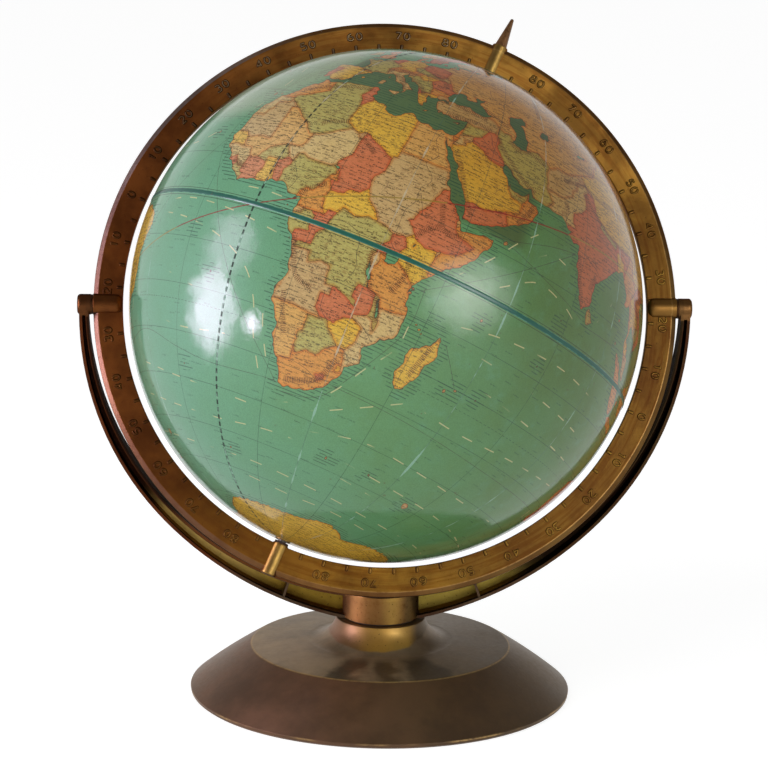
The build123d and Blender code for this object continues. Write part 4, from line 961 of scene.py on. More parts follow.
class GlobeStageSettings(bpy.types.PropertyGroup):
    """Camera, lamps and floor."""

    distance: length_property("Distance", "Camera's distance from the object's axis", 1.75165)
    height: length_property("Height", "Camera's height above the floor", 0.56377)
    turn: angle_property("Turn", "Camera's place round the object", -0.0508)
    aside: angle_property("Aside", "How far the camera looks past the object's axis", 0.0002)
    pitch: angle_property("Pitch", "Camera's pitch", -0.2103)
    roll: angle_property("Roll", "Camera's roll", 0.017)
    lens: amount_property("Lens", "Focal length in millimetres on a 36 mm sensor", 140.47)
    overhead: amount_property("Overhead", "Strength of the world overhead", 0.3)
    room: amount_property("Room", "Share of the world's strength left in front", 0.45)
    high: amount_property("High", "Power of the high soft lamp in watts", 34.0)
    low: amount_property("Low", "Power of the low front lamp in watts", 10.0)
    window: amount_property("Window", "Power of the window's shine in watts", 16.0)
    glare: amount_property("Glare", "Power of the front shine in watts", 66.0)


def grid(points, wrap_rows=False, wrap_columns=False):
    """Vertices and quads of a surface given as rows and columns of points.

    Quad (i, j) joins points (i, j), (i, j + 1), (i + 1, j + 1) and (i + 1, j); a wrapped side joins back to
    its start.
    """
    rows, columns = points.shape[:2]
    index = np.arange(rows * columns).reshape(rows, columns)
    if wrap_rows:
        index = np.vstack([index, index[:1]])
    if wrap_columns:
        index = np.hstack([index, index[:, :1]])
    quads = np.stack([index[:-1, :-1], index[:-1, 1:], index[1:, 1:], index[1:, :-1]], axis=-1).reshape(-1, 4)
    return points.reshape(-1, 3), quads


def outward(vertices, quads):
    """The quads of a closed surface, turned over if its signed volume, sum of a.(b x c) / 6, is negative."""
    corner = vertices[quads] - vertices.mean(axis=0)
    first = np.einsum("ij,ij->i", corner[:, 0], np.cross(corner[:, 1], corner[:, 2]))
    second = np.einsum("ij,ij->i", corner[:, 0], np.cross(corner[:, 2], corner[:, 3]))
    return quads if (first + second).sum() > 0 else quads[:, ::-1]


def joined(*surfaces):
    """Several surfaces as one list of vertices and quads."""
    starts = np.cumsum([0] + [len(vertices) for vertices, _ in surfaces])
    vertices = np.concatenate([vertices for vertices, _ in surfaces])
    quads = np.concatenate([quads + start for (_, quads), start in zip(surfaces, starts)])
    return vertices, quads


def rounded(corners, reach, steps=5):
    """A closed chain of corners with each corner rounded.

    The corner C between points A and B, `reach` away along its two sides, becomes the parabola
    (1 - t)^2 A + 2 t (1 - t) C + t^2 B, with one more point 0.6 `reach` on along each side to hold it flat.
    """
    corners = np.asarray(corners, float)
    reach = np.broadcast_to(np.asarray(reach, float), len(corners))[:, None]
    back = unit(np.roll(corners, 1, axis=0) - corners) * reach
    onward = unit(np.roll(corners, -1, axis=0) - corners) * reach
    t = np.linspace(0, 1, steps)[None, :, None]
    start, end = (corners + back)[:, None], (corners + onward)[:, None]
    arcs = (1 - t) ** 2 * start + 2 * t * (1 - t) * corners[:, None] + t ** 2 * end
    chain = np.concatenate([start + 0.6 * back[:, None], arcs, end + 0.6 * onward[:, None]], axis=1)
    return chain.reshape(-1, corners.shape[1])


def turned(profile, origin, axis, side, segments=128):
    """A closed profile of (radius, height) points turned about an axis.

    P(u, v) = origin + height(v) axis + radius(v) (cos u side + sin u (axis x side)).
    """
    u = np.linspace(0, 2 * pi, segments, endpoint=False)[:, None, None]
    radius, height = profile[None, :, 0, None], profile[None, :, 1, None]
    points = origin + height * axis + radius * (np.cos(u) * side + np.sin(u) * np.cross(axis, side))
    vertices, quads = grid(points, wrap_rows=True, wrap_columns=True)
    return vertices, outward(vertices, quads)


def make_piece(name, surface, body, material, nodes=(), sharp=None, weld=False):
    """Put a surface into the scene as a named piece that rides on a body and may replace CAD nodes."""
    vertices, quads = surface
    mesh = bpy.data.meshes.new(name)
    mesh.vertices.add(len(vertices))
    mesh.vertices.foreach_set("co", np.ascontiguousarray(vertices, np.float32).ravel())
    mesh.loops.add(quads.size)
    mesh.loops.foreach_set("vertex_index", np.ascontiguousarray(quads, np.int32).ravel())
    mesh.polygons.add(len(quads))
    mesh.polygons.foreach_set("loop_start", np.arange(0, quads.size, 4, dtype=np.int32))
    mesh.update(calc_edges=True)
    if weld:
        work = bmesh.new()
        work.from_mesh(mesh)
        bmesh.ops.remove_doubles(work, verts=work.verts, dist=1e-7)
        work.to_mesh(mesh)
        work.free()
    mesh.shade_smooth()
    if sharp is not None:
        mesh.set_sharp_from_angle(angle=sharp)
    piece = bpy.data.objects.new(name, mesh)
    bpy.context.scene.collection.objects.link(piece)
    mesh.materials.append(material)
    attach(piece, body)
    if nodes:
        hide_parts(*nodes)
    return piece


def check_fit(piece, node, slack=0.0008):
    """Raise an error if a piece stands out of the box of the CAD node it replaces."""
    low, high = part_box(node)
    corners = np.empty(3 * len(piece.data.vertices), np.float32)
    piece.data.vertices.foreach_get("co", corners)
    corners = corners.reshape(-1, 3)
    if (corners.min(0) < np.array(low) - slack).any() or (corners.max(0) > np.array(high) + slack).any():
        raise RuntimeError(f"{piece.name} stands out of {node}: {corners.min(0)} {corners.max(0)}")


class Wiring:
    """Adds nodes to one shader tree; an input is a number, a colour or the socket of another node."""

    def __init__(self, tree):
        self.tree = tree

    def feed(self, socket, value):
        if isinstance(value, bpy.types.NodeSocket):
            self.tree.links.new(value, socket)
        elif socket.type == "RGBA" and len(value) == 3:
            socket.default_value = (*value, 1.0)
        else:
            socket.default_value = value

    def add(self, kind, values, **settings):
        node = self.tree.nodes.new(kind)
        for name, value in settings.items():
            setattr(node, name, value)
        for name, value in values.items():
            self.feed(node.inputs[name], value)
        return node

    def math(self, operation, *values):
        return self.add("ShaderNodeMath", dict(enumerate(values)), operation=operation).outputs[0]

    def times(self, *values):
        """The product of the values."""
        return reduce(lambda a, b: self.math("MULTIPLY", a, b), values)

    def most(self, *values):
        """The largest of the values."""
        return reduce(lambda a, b: self.math("MAXIMUM", a, b), values)

    def less(self, a, b):
        """The first value less the second."""
        return self.math("SUBTRACT", a, b)

    def scaled(self, value, factor, start):
        """The start and a factor times the value."""
        return self.math("MULTIPLY_ADD", value, factor, start)

    def size(self, value):
        """The value without its sign."""
        return self.math("ABSOLUTE", value)

    def vector(self, operation, a, b=(0.0, 0.0, 0.0)):
        node = self.add("ShaderNodeVectorMath", {0: a, 1: b}, operation=operation)
        return node.outputs["Value" if operation in {"LENGTH", "DISTANCE", "DOT_PRODUCT"} else "Vector"]

    def mix(self, factor, a, b, blend="MIX"):
        values = {0: factor, 6: a, 7: b}
        return self.add("ShaderNodeMix", values, data_type="RGBA", blend_type=blend).outputs[2]

    def band(self, value, low, high, start=0.0, end=1.0):
        """Smooth step from start to end as the value goes from low to high."""
        values = {"Value": value, "From Min": low, "From Max": high, "To Min": start, "To Max": end}
        return self.add("ShaderNodeMapRange", values, interpolation_type="SMOOTHSTEP").outputs["Result"]

    def fade(self, value, low, high, a, b):
        """Colour a turning to b as the value goes from low to high."""
        return self.mix(self.band(value, low, high), a, b)

    def line(self, distance, half_width, soft):
        """1 within half_width of zero, falling to 0 over the soft edge."""
        return self.band(self.size(distance), half_width + soft, max(half_width - soft, 0.0))

    def dash(self, value, length, share):
        """1 over the first share of each length."""
        return self.math("LESS_THAN", self.math("FRACT", self.math("DIVIDE", value, length)), share)

    def steps(self, value, step):
        """The whole number of steps nearest to a value."""
        return self.math("ROUND", self.math("DIVIDE", value, step))

    def every(self, value, step):
        """Signed distance of a value from the nearest whole multiple of step."""
        return self.less(value, self.times(self.steps(value, step), step))

    def noise(self, vector, scale, detail=2.0, roughness=0.5):
        values = {"Vector": vector, "Scale": scale, "Detail": detail, "Roughness": roughness}
        return self.add("ShaderNodeTexNoise", values).outputs[0]

    def pair(self, x, y):
        return self.add("ShaderNodeCombineXYZ", {"X": x, "Y": y}).outputs[0]

    def chance(self, x, y):
        """Outputs of the white noise of a pair of whole numbers."""
        return self.add("ShaderNodeTexWhiteNoise", {"Vector": self.pair(x, y)}).outputs

    def attribute(self, name):
        return self.add("ShaderNodeAttribute", {}, attribute_name=name).outputs["Fac"]

    def place(self):
        return self.add("ShaderNodeTexCoord", {}).outputs["Object"]

    def part(self, vector, axis):
        return self.add("ShaderNodeSeparateXYZ", {"Vector": vector}).outputs[axis]

    def group(self, tree, **values):
        return self.add("ShaderNodeGroup", values, node_tree=tree).outputs

    def dress(self, shader, shade, roughness, height, strength, distance):
        """Wire colour, roughness and relief to a shader; gives the relief's normal."""
        relief = self.add("ShaderNodeBump", {"Height": height, "Strength": strength, "Distance": distance})
        wires = {"Base Color": shade, "Roughness": roughness, "Normal": relief.outputs["Normal"]}
        for name, value in wires.items():
            self.feed(shader.inputs[name], value)
        return relief.outputs["Normal"]


def new_group(name, inputs, outputs):
    """An empty node group with those sockets, its wiring, its input sockets and its output node."""
    tree = bpy.data.node_groups.new(name, "ShaderNodeTree")
    for title, kind, default in inputs:
        socket = tree.interface.new_socket(title, in_out="INPUT", socket_type=kind)
        socket.default_value = default
    for title, kind in outputs:
        tree.interface.new_socket(title, in_out="OUTPUT", socket_type=kind)
    given = tree.nodes.new("NodeGroupInput").outputs
    result = tree.nodes.new("NodeGroupOutput").inputs
    return tree, Wiring(tree), given, result


def aged_bronze_group():
    """Lacquered bronze with smudges, bright places, darkening towards black and dark specks; callers use the
    bright places for wearing and some painted highlight, and the darkening for soiling and painted shade.
    """
    if "aged_bronze" in bpy.data.node_groups:
        return bpy.data.node_groups["aged_bronze"]
    tint, number = "NodeSocketColor", "NodeSocketFloat"
    tree, w, given, result = new_group(
        "aged_bronze",
        (("Dark", tint, (0.03, 0.02, 0.01, 1)), ("Mid", tint, (0.1, 0.05, 0.02, 1)),
         ("Bright", tint, (0.5, 0.3, 0.1, 1)), ("Wear", number, 0.0), ("Grime", number, 0.0),
         ("Smudge", number, 1.0), ("Specks", number, 0.5)),
        (("Color", tint), ("Roughness", number), ("Height", number)))
    place = w.place()
    broad = w.noise(place, 34.0, 4.0, 0.55)
    fine = w.noise(place, 420.0, 3.0, 0.6)
    streak = w.noise(place, 150.0, 4.0, 0.65)
    smudge = w.band(w.math("ADD", w.times(broad, 0.75), w.times(streak, 0.25)), 0.32, 0.68)
    smudge = w.scaled(w.less(smudge, 0.5), given["Smudge"], 0.6)
    shade = w.mix(smudge, given["Dark"], given["Mid"])
    # Bright places: wearing, and for some callers a painted highlight
    bright_patches = w.times(given["Wear"], w.band(w.scaled(streak, 0.8, fine), 0.5, 1.0))
    shade = w.mix(bright_patches, shade, given["Bright"])
    # Darkening towards black: soiling, and for some callers painted shade
    darkening = w.times(given["Grime"], w.band(fine, 0.25, 0.6, 0.75, 1.0))
    shade = w.mix(darkening, shade, (0.006, 0.005, 0.004))
    speck = w.times(w.band(w.noise(place, 700.0, 2.0, 0.7), 0.66, 0.71), given["Specks"])
    shade = w.mix(speck, shade, (0.012, 0.008, 0.005))
    w.feed(result["Color"], shade)
    rough = w.scaled(broad, 0.2, w.times(fine, 0.2))
    w.feed(result["Roughness"], w.math("ADD", rough, w.scaled(given["Grime"], 0.3, 0.2)))
    w.feed(result["Height"], w.less(w.times(fine, 0.8), speck))
    return tree


def new_material(name):
    """A material with its wiring and its Principled shader."""
    material = bpy.data.materials.new(name)
    material.use_nodes = True
    tree = material.node_tree
    return material, Wiring(tree), tree.nodes["Principled BSDF"]


def finish_bronze(w, shader, colours, metallic, bump, **amounts):
    """Wire the aged bronze group to a material's shader."""
    dark, mid, bright = colours
    out = w.group(aged_bronze_group(), Dark=dark, Mid=mid, Bright=bright, **amounts)
    shader.inputs["Metallic"].default_value = metallic
    w.dress(shader, out["Color"], out["Roughness"], out["Height"], bump, 0.0004)


def ring_material(settings):
    """Ring lacquer, brushed along the ring.

    Red-brown on the left, gold at the top right, browner low on the right and on the bevels: partly the
    lacquer's own tone, partly painted reflection and shade. The bevels also carry a painted highlight, pale
    on the left and towards the top.
    """
    material, w, shader = new_material("ring_bronze")
    place = w.place()
    east, height = w.part(place, "X"), w.part(place, "Z")
    across = w.band(east, -0.135, 0.03)
    low_right = w.times(w.band(east, -0.02, 0.08), w.band(height, 0.345, 0.245))
    radius = w.vector("DISTANCE", place, tuple(CENTRE))
    bevel = w.band(radius, 0.1703, 0.1707)
    crease = w.line(w.less(radius, 0.1704), 0.0003, 0.0003)
    offset = w.vector("SUBTRACT", place, tuple(CENTRE))
    spoke = w.vector("MULTIPLY", w.vector("NORMALIZE", offset), (5.0, 5.0, 5.0))
    brushing = w.vector("ADD", spoke, w.vector("MULTIPLY", radius, tuple(450.0 * RING_BACK)))
    streaks = w.band(w.noise(brushing, 1.0, 3.0, 0.6), 0.42, 0.62, 0.0, 0.7)
    amber = w.times(streaks, w.band(east, -0.16, -0.02))
    barrel = w.band(w.size(w.vector("DOT_PRODUCT", offset, tuple(RING_BACK))), 0.0031, 0.0036)
    pivot = w.band(w.size(east), 0.1, 0.13)
    # Colour by place on the ring: red-brown on the left, gold brightening towards the top right, darker low
    # on the right; partly the lacquer's tone, partly painted reflection and shade
    gold = w.fade(height, 0.245, 0.345, settings.gold, (0.54, 0.27, 0.05))
    gold = w.mix(low_right, gold, (0.14, 0.068, 0.013))
    red_brown_left = w.fade(height, 0.175, 0.115, (0.235, 0.072, 0.016), (0.165, 0.058, 0.01))
    mid = w.mix(amber, w.mix(across, red_brown_left, gold), (0.68, 0.5, 0.46), "MULTIPLY")
    bevel_mid = w.mix(low_right, (0.18, 0.085, 0.026), (0.14, 0.077, 0.024))
    # Bevel pale on the left and paler still towards the top: painted highlight
    pale = w.fade(height, 0.16, 0.29, (0.112, 0.054, 0.03), (0.115, 0.073, 0.057))
    pale = w.fade(height, 0.28, 0.36, pale, (0.26, 0.2, 0.17))
    mid = w.mix(bevel, mid, w.fade(east, -0.13, -0.03, pale, bevel_mid))
    # The pivot barrels turn from red-brown on the left to gold-brown on the right: partly painted reflection
    pivot_mid = w.mix(across, (0.16, 0.055, 0.014), (0.2, 0.1, 0.024))
    mid = w.mix(barrel, mid, w.mix(pivot, (0.31, 0.19, 0.05), pivot_mid))
    dark = w.mix(0.55, mid, settings.dark)
    shader.inputs["Specular Tint"].default_value = (0.6, 0.42, 0.28, 1.0)
    # The bright line along the bevel's crease, stronger to the right, is part wearing, part painted highlight
    finish_bronze(
        w, shader, (dark, mid, settings.bright), 0.92, 0.25, Wear=w.times(crease, across, 0.25), Smudge=1.25,
        Specks=0.35)
    return material


def figure_material(settings):
    """Raised figures: darker round their feet, partly soiling and partly painted shade; brighter along their
    crests, partly wearing and partly painted highlight; lighter to the right and darker at the top, partly
    painted reflection.
    """
    material, w, shader = new_material("ring_figures")
    place = w.place()
    east, height = w.part(place, "X"), w.part(place, "Z")
    across = w.band(east, -0.17, 0.03)
    crest = w.attribute("crest")
    # Lighter to the right and darker at the top, as on the ring: partly the lacquer's tone, partly painted
    # reflection
    mid = w.mix(across, (0.12, 0.045, 0.011), (0.17, 0.092, 0.018))
    mid = w.fade(height, 0.26, 0.34, mid, w.mix(across, (0.045, 0.018, 0.006), (0.1, 0.055, 0.013)))
    # Darker round the feet of each ridge: partly soiling, partly painted shade
    darkening_mask = w.band(crest, 0.9, 0.45, 0.0, 0.96)
    # Crests brighter towards the right and the top: partly wearing, partly painted highlight
    bright_share = w.scaled(across, 0.2, w.band(height, 0.3, 0.37, 0.1, 0.6))
    crest_wear_and_sheen = w.times(w.band(crest, 0.84, 1.0), bright_share)
    pale = w.fade(east, 0.02, 0.07, (0.4, 0.29, 0.17), (0.3, 0.16, 0.04))
    bright = w.fade(height, 0.3, 0.37, settings.gold, pale)
    finish_bronze(w, shader, (settings.dark, mid, bright), 1.0, 0.15, Wear=crest_wear_and_sheen, Grime=darkening_mask)
    return material


def off_axis(w, place):
    """Distance from the upright axis."""
    return w.vector("LENGTH", w.vector("MULTIPLY", place, (1.0, 1.0, 0.0)))


def cradle_material(settings):
    """Cradle lacquer: dark brown; black in the channel above the foot and darker up the inner flange, both
    painted shade; olive round the foot; a copper to gold collar with a painted highlight stripe and a dark
    painted reflection on its right.
    """
    material, w, shader = new_material("cradle_bronze")
    place = w.place()
    height, across, depth = (w.part(place, axis) for axis in "ZXY")
    foot = w.band(height, 0.088, 0.066)
    radius = w.vector("DISTANCE", place, tuple(CENTRE))
    collar = w.times(w.band(off_axis(w, place), 0.0236, 0.0231), w.band(height, 0.066, 0.0645))
    channel = w.times(w.band(depth, -0.0052, -0.0025), w.band(radius, 0.1772, 0.1779))
    inner = w.band(radius, 0.1779, 0.1772)
    boss = w.times(w.band(w.size(across), 0.1743, 0.1747), w.band(height, 0.2302, 0.2312))
    right = w.band(across, -0.02, 0.09)
    # The lower web, left out of the channel's painted shade; it reaches higher on the right
    unshaded = w.band(w.scaled(right, 0.045, height), 0.13, 0.108)
    web = w.times(unshaded, channel)
    # The inner flange darkens as it rises under the ring: painted shade
    inner_left = w.fade(height, 0.1, 0.12, (0.12, 0.042, 0.012), (0.026, 0.01, 0.004))
    inner_right = w.fade(height, 0.122, 0.148, (0.11, 0.072, 0.024), (0.02, 0.013, 0.005))
    flange = w.mix(foot, w.mix(right, settings.brown, (0.05, 0.028, 0.012)), (0.09, 0.06, 0.035))
    mid = w.mix(inner, flange, w.mix(right, inner_left, inner_right))
    olive = w.fade(across, -0.06, -0.1, (0.3, 0.19, 0.026), (0.62, 0.43, 0.12))
    mid = w.mix(web, mid, w.fade(across, -0.02, 0.03, olive, (0.42, 0.31, 0.058)))
    mid = w.mix(boss, mid, w.mix(right, (0.11, 0.042, 0.014), (0.17, 0.085, 0.028)))
    # Collar: copper on the left, a bright stripe just right of the middle as painted highlight, a dark right
    # flank as painted reflection, and darker where it runs into the channel
    brassy = w.fade(across, -0.006, -0.02, (0.18, 0.076, 0.019), (0.34, 0.155, 0.058))
    brassy = w.mix(w.line(w.less(across, 0.006), 0.0045, 0.0045), brassy, (0.34, 0.2, 0.042))
    brassy = w.fade(across, 0.009, 0.016, brassy, (0.05, 0.03, 0.012))
    brassy = w.fade(radius, 0.1756, 0.1751, brassy, (0.05, 0.024, 0.012))
    mid = w.mix(collar, mid, brassy)
    bare = w.times(w.most(web, collar, boss), 0.45)
    dark = w.mix(w.most(bare, w.times(inner, 0.8)), settings.dark, mid)
    # Black in the channel above the foot and up the inner flange: painted shade
    darkening_mask = w.times(channel, w.less(1.0, unshaded), w.less(0.68, w.most(collar, boss)))
    inner_shade = w.times(w.band(height, 0.1, 0.125, 0.0, 0.6), w.band(height, 0.17, 0.225, 1.0, 0.5))
    darkening_mask = w.most(darkening_mask, w.times(inner, inner_shade))
    shader.inputs["Specular Tint"].default_value = (0.22, 0.14, 0.08, 1.0)
    finish_bronze(
        w, shader, (dark, mid, settings.bright), 0.9, 0.25, Wear=w.times(collar, 0.12), Grime=darkening_mask,
        Smudge=0.8, Specks=w.scaled(foot, 0.7, 0.2))
    return material


def base_material(settings):
    """Base lacquer: brassy neck, grey-brown disc smeared in front, tan crease, taupe skirt, a rim scuffed
    bright. Disc and skirt are painted lighter on the left and darker on the right; the neck's gold front,
    bright stripe and dark right flank are partly painted reflection, and a painted shadow darkens its top
    face.
    """
    material, w, shader = new_material("base_bronze")
    place = w.place()
    height, across, depth = (w.part(place, axis) for axis in "ZXY")
    radius = off_axis(w, place)
    # The brassy neck reaches less far out at the sides than at the front: partly painted reflection
    lean = w.times(across, w.scaled(across, 7.0, 0.07))
    ragged = w.scaled(w.noise(place, 120.0, 3.0), 0.003, w.math("ADD", radius, lean))
    neck = w.band(ragged, 0.0387, 0.0367)
    skirt = w.band(radius, 0.0779, 0.079)
    crease = w.line(w.less(radius, 0.0784), 0.0005, 0.0004)
    # Disc and skirt lighter on the left and darker on the right: painted light
    side = w.band(across, -0.09, 0.1)
    skirt_mid = w.mix(side, (0.14, 0.068, 0.038), (0.08, 0.046, 0.02))
    disc_mid = w.mix(side, (0.38, 0.27, 0.17), (0.08, 0.052, 0.026))
    slant = w.math("DIVIDE", across, w.most(w.times(depth, -1.0), 0.02))
    slant = w.scaled(w.less(w.noise(place, 70.0, 3.0), 0.5), 0.35, slant)
    fingers = ((-0.37, 0.13), (0.0, 0.1), (0.42, 0.22))
    smear = w.most(*[w.line(w.less(slant, middle), half, 0.07) for middle, half in fingers])
    smear = w.times(smear, w.band(radius, 0.041, 0.053), w.band(depth, -0.024, -0.036), 0.85)
    disc_mid = w.mix(smear, disc_mid, (0.05, 0.032, 0.018))
    # Neck: copper on the left, a bright stripe right of the middle and a dark right flank, partly painted
    # reflection
    neck_mid = w.fade(across, -0.004, -0.02, (0.44, 0.24, 0.042), (0.2, 0.1, 0.038))
    neck_mid = w.mix(w.line(w.less(across, 0.011), 0.006, 0.005), neck_mid, (0.4, 0.23, 0.045))
    neck_mid = w.fade(across, 0.014, 0.022, neck_mid, (0.085, 0.054, 0.025))
    neck_mid = w.fade(across, -0.022, -0.028, neck_mid, (0.26, 0.14, 0.08))
    # Darker on the neck's top face: painted shadow
    neck_mid = w.fade(height, 0.0456, 0.0459, neck_mid, (0.13, 0.075, 0.028))
    mid = w.mix(neck, w.mix(skirt, disc_mid, skirt_mid), neck_mid)
    dark = w.mix(w.scaled(neck, 0.25, 0.4), (0.035, 0.022, 0.014), mid)
    bright_share = w.band(w.noise(place, 26.0, 3.0, 0.6), 0.45, 0.65)
    rim = w.times(w.line(w.less(height, 0.0026), 0.0005, 0.0004), bright_share, 0.6)
    shader.inputs["Specular Tint"].default_value = (0.8, 0.68, 0.55, 1.0)
    finish_bronze(
        w, shader, (dark, mid, settings.bright), 0.4, 0.15, Wear=w.most(w.times(crease, 0.4), rim),
        Smudge=0.9, Specks=w.scaled(neck, 0.6, 0.1))
    return material


def dimmed(tint, share):
    """A colour at a share of its strength."""
    return tuple(share * part for part in tint)


def plain_metal(name, tint, roughness, metallic):
    """Small metal fittings with tarnish."""
    material, w, shader = new_material(name)
    place = w.place()
    tarnish = w.band(w.noise(place, 260.0, 4.0, 0.6), 0.35, 0.7)
    shader.inputs["Metallic"].default_value = metallic
    shade = w.mix(tarnish, tint, dimmed(tint, 0.45))
    w.dress(shader, shade, w.scaled(tarnish, 0.25, roughness), w.noise(place, 900.0), 0.15, 0.0002)
    return material


def board_material(name, tint):
    """Pressed board or fibre with flecks."""
    material, w, shader = new_material(name)
    place = w.place()
    fleck = w.band(w.noise(place, 700.0, 4.0, 0.7), 0.4, 0.65)
    cloud = w.times(w.noise(place, 60.0, 3.0), 0.4)
    shade = w.mix(cloud, w.mix(fleck, dimmed(tint, 0.62), tint), dimmed(tint, 0.5))
    w.dress(shader, shade, w.scaled(fleck, -0.12, 0.9), fleck, 0.3, 0.0003)
    return material


def print_grain_group():
    """Grain of a printed and varnished paper: ink strength, browned varnish patches, on the map also standing
    for painted shade, and gloss.
    """
    tint, number = "NodeSocketColor", "NodeSocketFloat"
    tree, w, given, result = new_group(
        "print_grain", (("Color", tint, (0.5, 0.5, 0.5, 1)), ("Browning", number, 0.3)),
        (("Color", tint), ("Roughness", number), ("Height", number)))
    place = w.place()
    grain = w.noise(place, 1500.0, 2.0, 0.6)
    cloud = w.noise(place, 45.0, 4.0, 0.6)
    shade = w.mix(w.band(grain, 0.3, 0.75, 0.0, 0.22), given["Color"], (0.02, 0.03, 0.02))
    shade = w.mix(w.band(cloud, 0.35, 0.7, 0.0, given["Browning"]), shade, (0.9, 0.76, 0.45), "MULTIPLY")
    spot = w.band(w.noise(place, 240.0, 2.0, 0.6), 0.72, 0.77, 0.0, 0.5)
    w.feed(result["Color"], w.mix(spot, shade, (0.1, 0.06, 0.03)))
    w.feed(result["Roughness"], w.scaled(cloud, 0.2, 0.4))
    w.feed(result["Height"], w.scaled(grain, 0.12, w.noise(place, 90.0, 3.0)))
    return tree


def varnish(w, shader, shade, grain, browning_and_shade, coat):
    """Wire printed colour, paper grain and varnish to a shader."""
    out = w.group(grain, Color=shade, Browning=browning_and_shade)
    relief = w.dress(shader, out["Color"], out["Roughness"], out["Height"], 0.32, 0.0006)
    w.feed(shader.inputs["Coat Normal"], relief)
    w.feed(shader.inputs["Coat Weight"], coat)
    shader.inputs["Coat Roughness"].default_value = 0.08
    shader.inputs["Specular IOR Level"].default_value = 0.1


class MapPrint:
    """The inks of the printed map, layer by layer, over its distance fields in millimetres, with painted
    shade and sheen laid among them.
    """

    def __init__(self, w, settings):
        self.w = w
        self.settings = settings
        self.place = w.place()
        self.lon, self.lat = w.attribute("lon"), w.attribute("lat")
        self.shrink = w.math("COSINE", w.math("RADIANS", self.lat))
        self.wobble = w.less(w.noise(self.place, 620.0, 3.0, 0.6), 0.5)
        self.coast = w.scaled(self.wobble, 0.9, w.attribute("coast"))
        self.land = w.band(self.coast, -0.08, 0.08)
        self.broken = w.band(w.noise(self.place, 330.0, 2.0, 0.6), 0.3, 0.5)
        drift = w.scaled(w.noise(self.place, 9.0, 3.0), 0.12, -0.06)
        self.across = w.math("ADD", w.part(self.place, "X"), drift)

    def ink(self, shade, tint, *masks):
        """A shade with a tint laid over it where all the masks are 1."""
        return self.w.mix(self.w.times(*masks), shade, tint)

    def patchy(self, least, gain):
        """Strength of a worn ink: the least, and up to the gain more where the ink held."""
        return self.w.scaled(self.broken, gain, least)

    def region(self, west, east, south, north):
        """1 inside a stretch of longitude and latitude; each side is the pair of degrees it fades between."""
        w = self.w
        return w.times(
            w.band(self.lon, *west), w.band(self.lon, *east),
            w.band(self.lat, *south), w.band(self.lat, *north))

    def stroke(self, name, half_width, soft):
        """Mask of the strokes whose distance is stored under a name."""
        w = self.w
        near = w.band(w.attribute(f"{name}_near"), 0.97, 0.999)
        return w.times(w.line(w.attribute(name), half_width, soft), near)

    def fine_marks(self, step, length, rare):
        """Mask of fine printed marks: broken dashes along the parallels, about `step` degrees apart."""
        w = self.w
        row = w.steps(self.lat, step)
        east = w.times(w.math("COSINE", w.math("RADIANS", w.times(row, step))), MM_PER_DEGREE / length)
        east = w.scaled(self.lon, east, w.times(row, 0.37))
        chance = w.chance(row, w.math("FLOOR", east))
        shown = w.math("GREATER_THAN", chance["Value"], rare)
        lift = w.scaled(w.part(chance["Color"], "Y"), 0.5 * step, -0.25 * step)
        thin = w.line(w.times(w.less(w.every(self.lat, step), lift), MM_PER_DEGREE), 0.36, 0.1)
        flecks = w.band(w.noise(self.place, 2000.0, 1.0), 0.44, 0.52)
        return w.times(shown, w.dash(east, 1.0, 0.86), thin, flecks)

    def countries(self):
        """Land tints with browned rims, browner and darker towards the upper right (partly browned varnish,
        partly painted shade), a painted veil of light over West Africa, hill shading, rivers, ranges, fine
        marks and borders.
        """
        w = self.w
        bits = [w.scaled(self.wobble, 0.3, w.attribute(f"tint_{bit}")) for bit in TINT_BITS]
        tints = [tuple(getattr(self.settings, name)) for name in TINTS]
        for bit in bits:
            choice = w.band(bit, -0.06, 0.06)
            tints = [w.mix(choice, *pair) for pair in zip(tints[::2], tints[1::2])]
        edge = w.math("MINIMUM", w.size(bits[0]), w.size(self.coast))
        tint = w.mix(w.band(edge, 1.7, 0.5, 0.0, 0.75), tints[0], (0.92, 0.6, 0.38), "MULTIPLY")
        # Browner and darker towards the upper right of the ball: partly browned varnish, partly painted shade
        upper_right_brown_and_shade = w.scaled(w.less(w.part(self.place, "Z"), float(CENTRE[2])), 0.45, self.across)
        tint = w.mix(w.band(upper_right_brown_and_shade, 0.02, 0.12), tint, (0.82, 0.69, 0.47), "MULTIPLY")
        # A pale painted veil of light over West Africa
        painted_veil = self.region((-182.0, -181.0), (10.0, -4.0), (-3.0, 3.0), (26.0, 16.0))
        tint = self.ink(tint, (0.9, 0.76, 0.52), painted_veil, 0.17)
        flow = w.noise(w.pair(w.times(self.lon, self.shrink, 0.9), w.times(self.lat, 3.1)), 1.0, 3.0, 0.65)
        hills = w.band(w.noise(self.place, 30.0, 3.0, 0.55), 0.4, 0.66, 0.25, 0.8)
        tint = self.ink(tint, (0.2, 0.08, 0.022), hills, w.band(flow, 0.47, 0.62), 0.7)
        river = w.line(w.less(w.noise(self.place, 52.0, 4.0, 0.62), 0.5), 0.006, 0.004)
        tint = self.ink(tint, (0.09, 0.05, 0.03), river, self.patchy(0.1, 0.35))
        peak = w.dash(w.scaled(self.wobble, 0.9, w.attribute("range_along")), 1.0, 0.55)
        tint = self.ink(tint, (0.15, 0.05, 0.017), self.stroke("range", 1.6, 0.5), peak, 0.75)
        marks = w.most(self.fine_marks(1.15, 5.6, 0.42), self.fine_marks(0.83, 2.7, 0.6))
        tint = self.ink(tint, (0.04, 0.022, 0.012), marks, 0.78)
        border = w.most(*[w.line(bit, 0.15, 0.1) for bit in bits])
        return self.ink(tint, (0.07, 0.022, 0.014), border, self.patchy(0.5, 0.4))

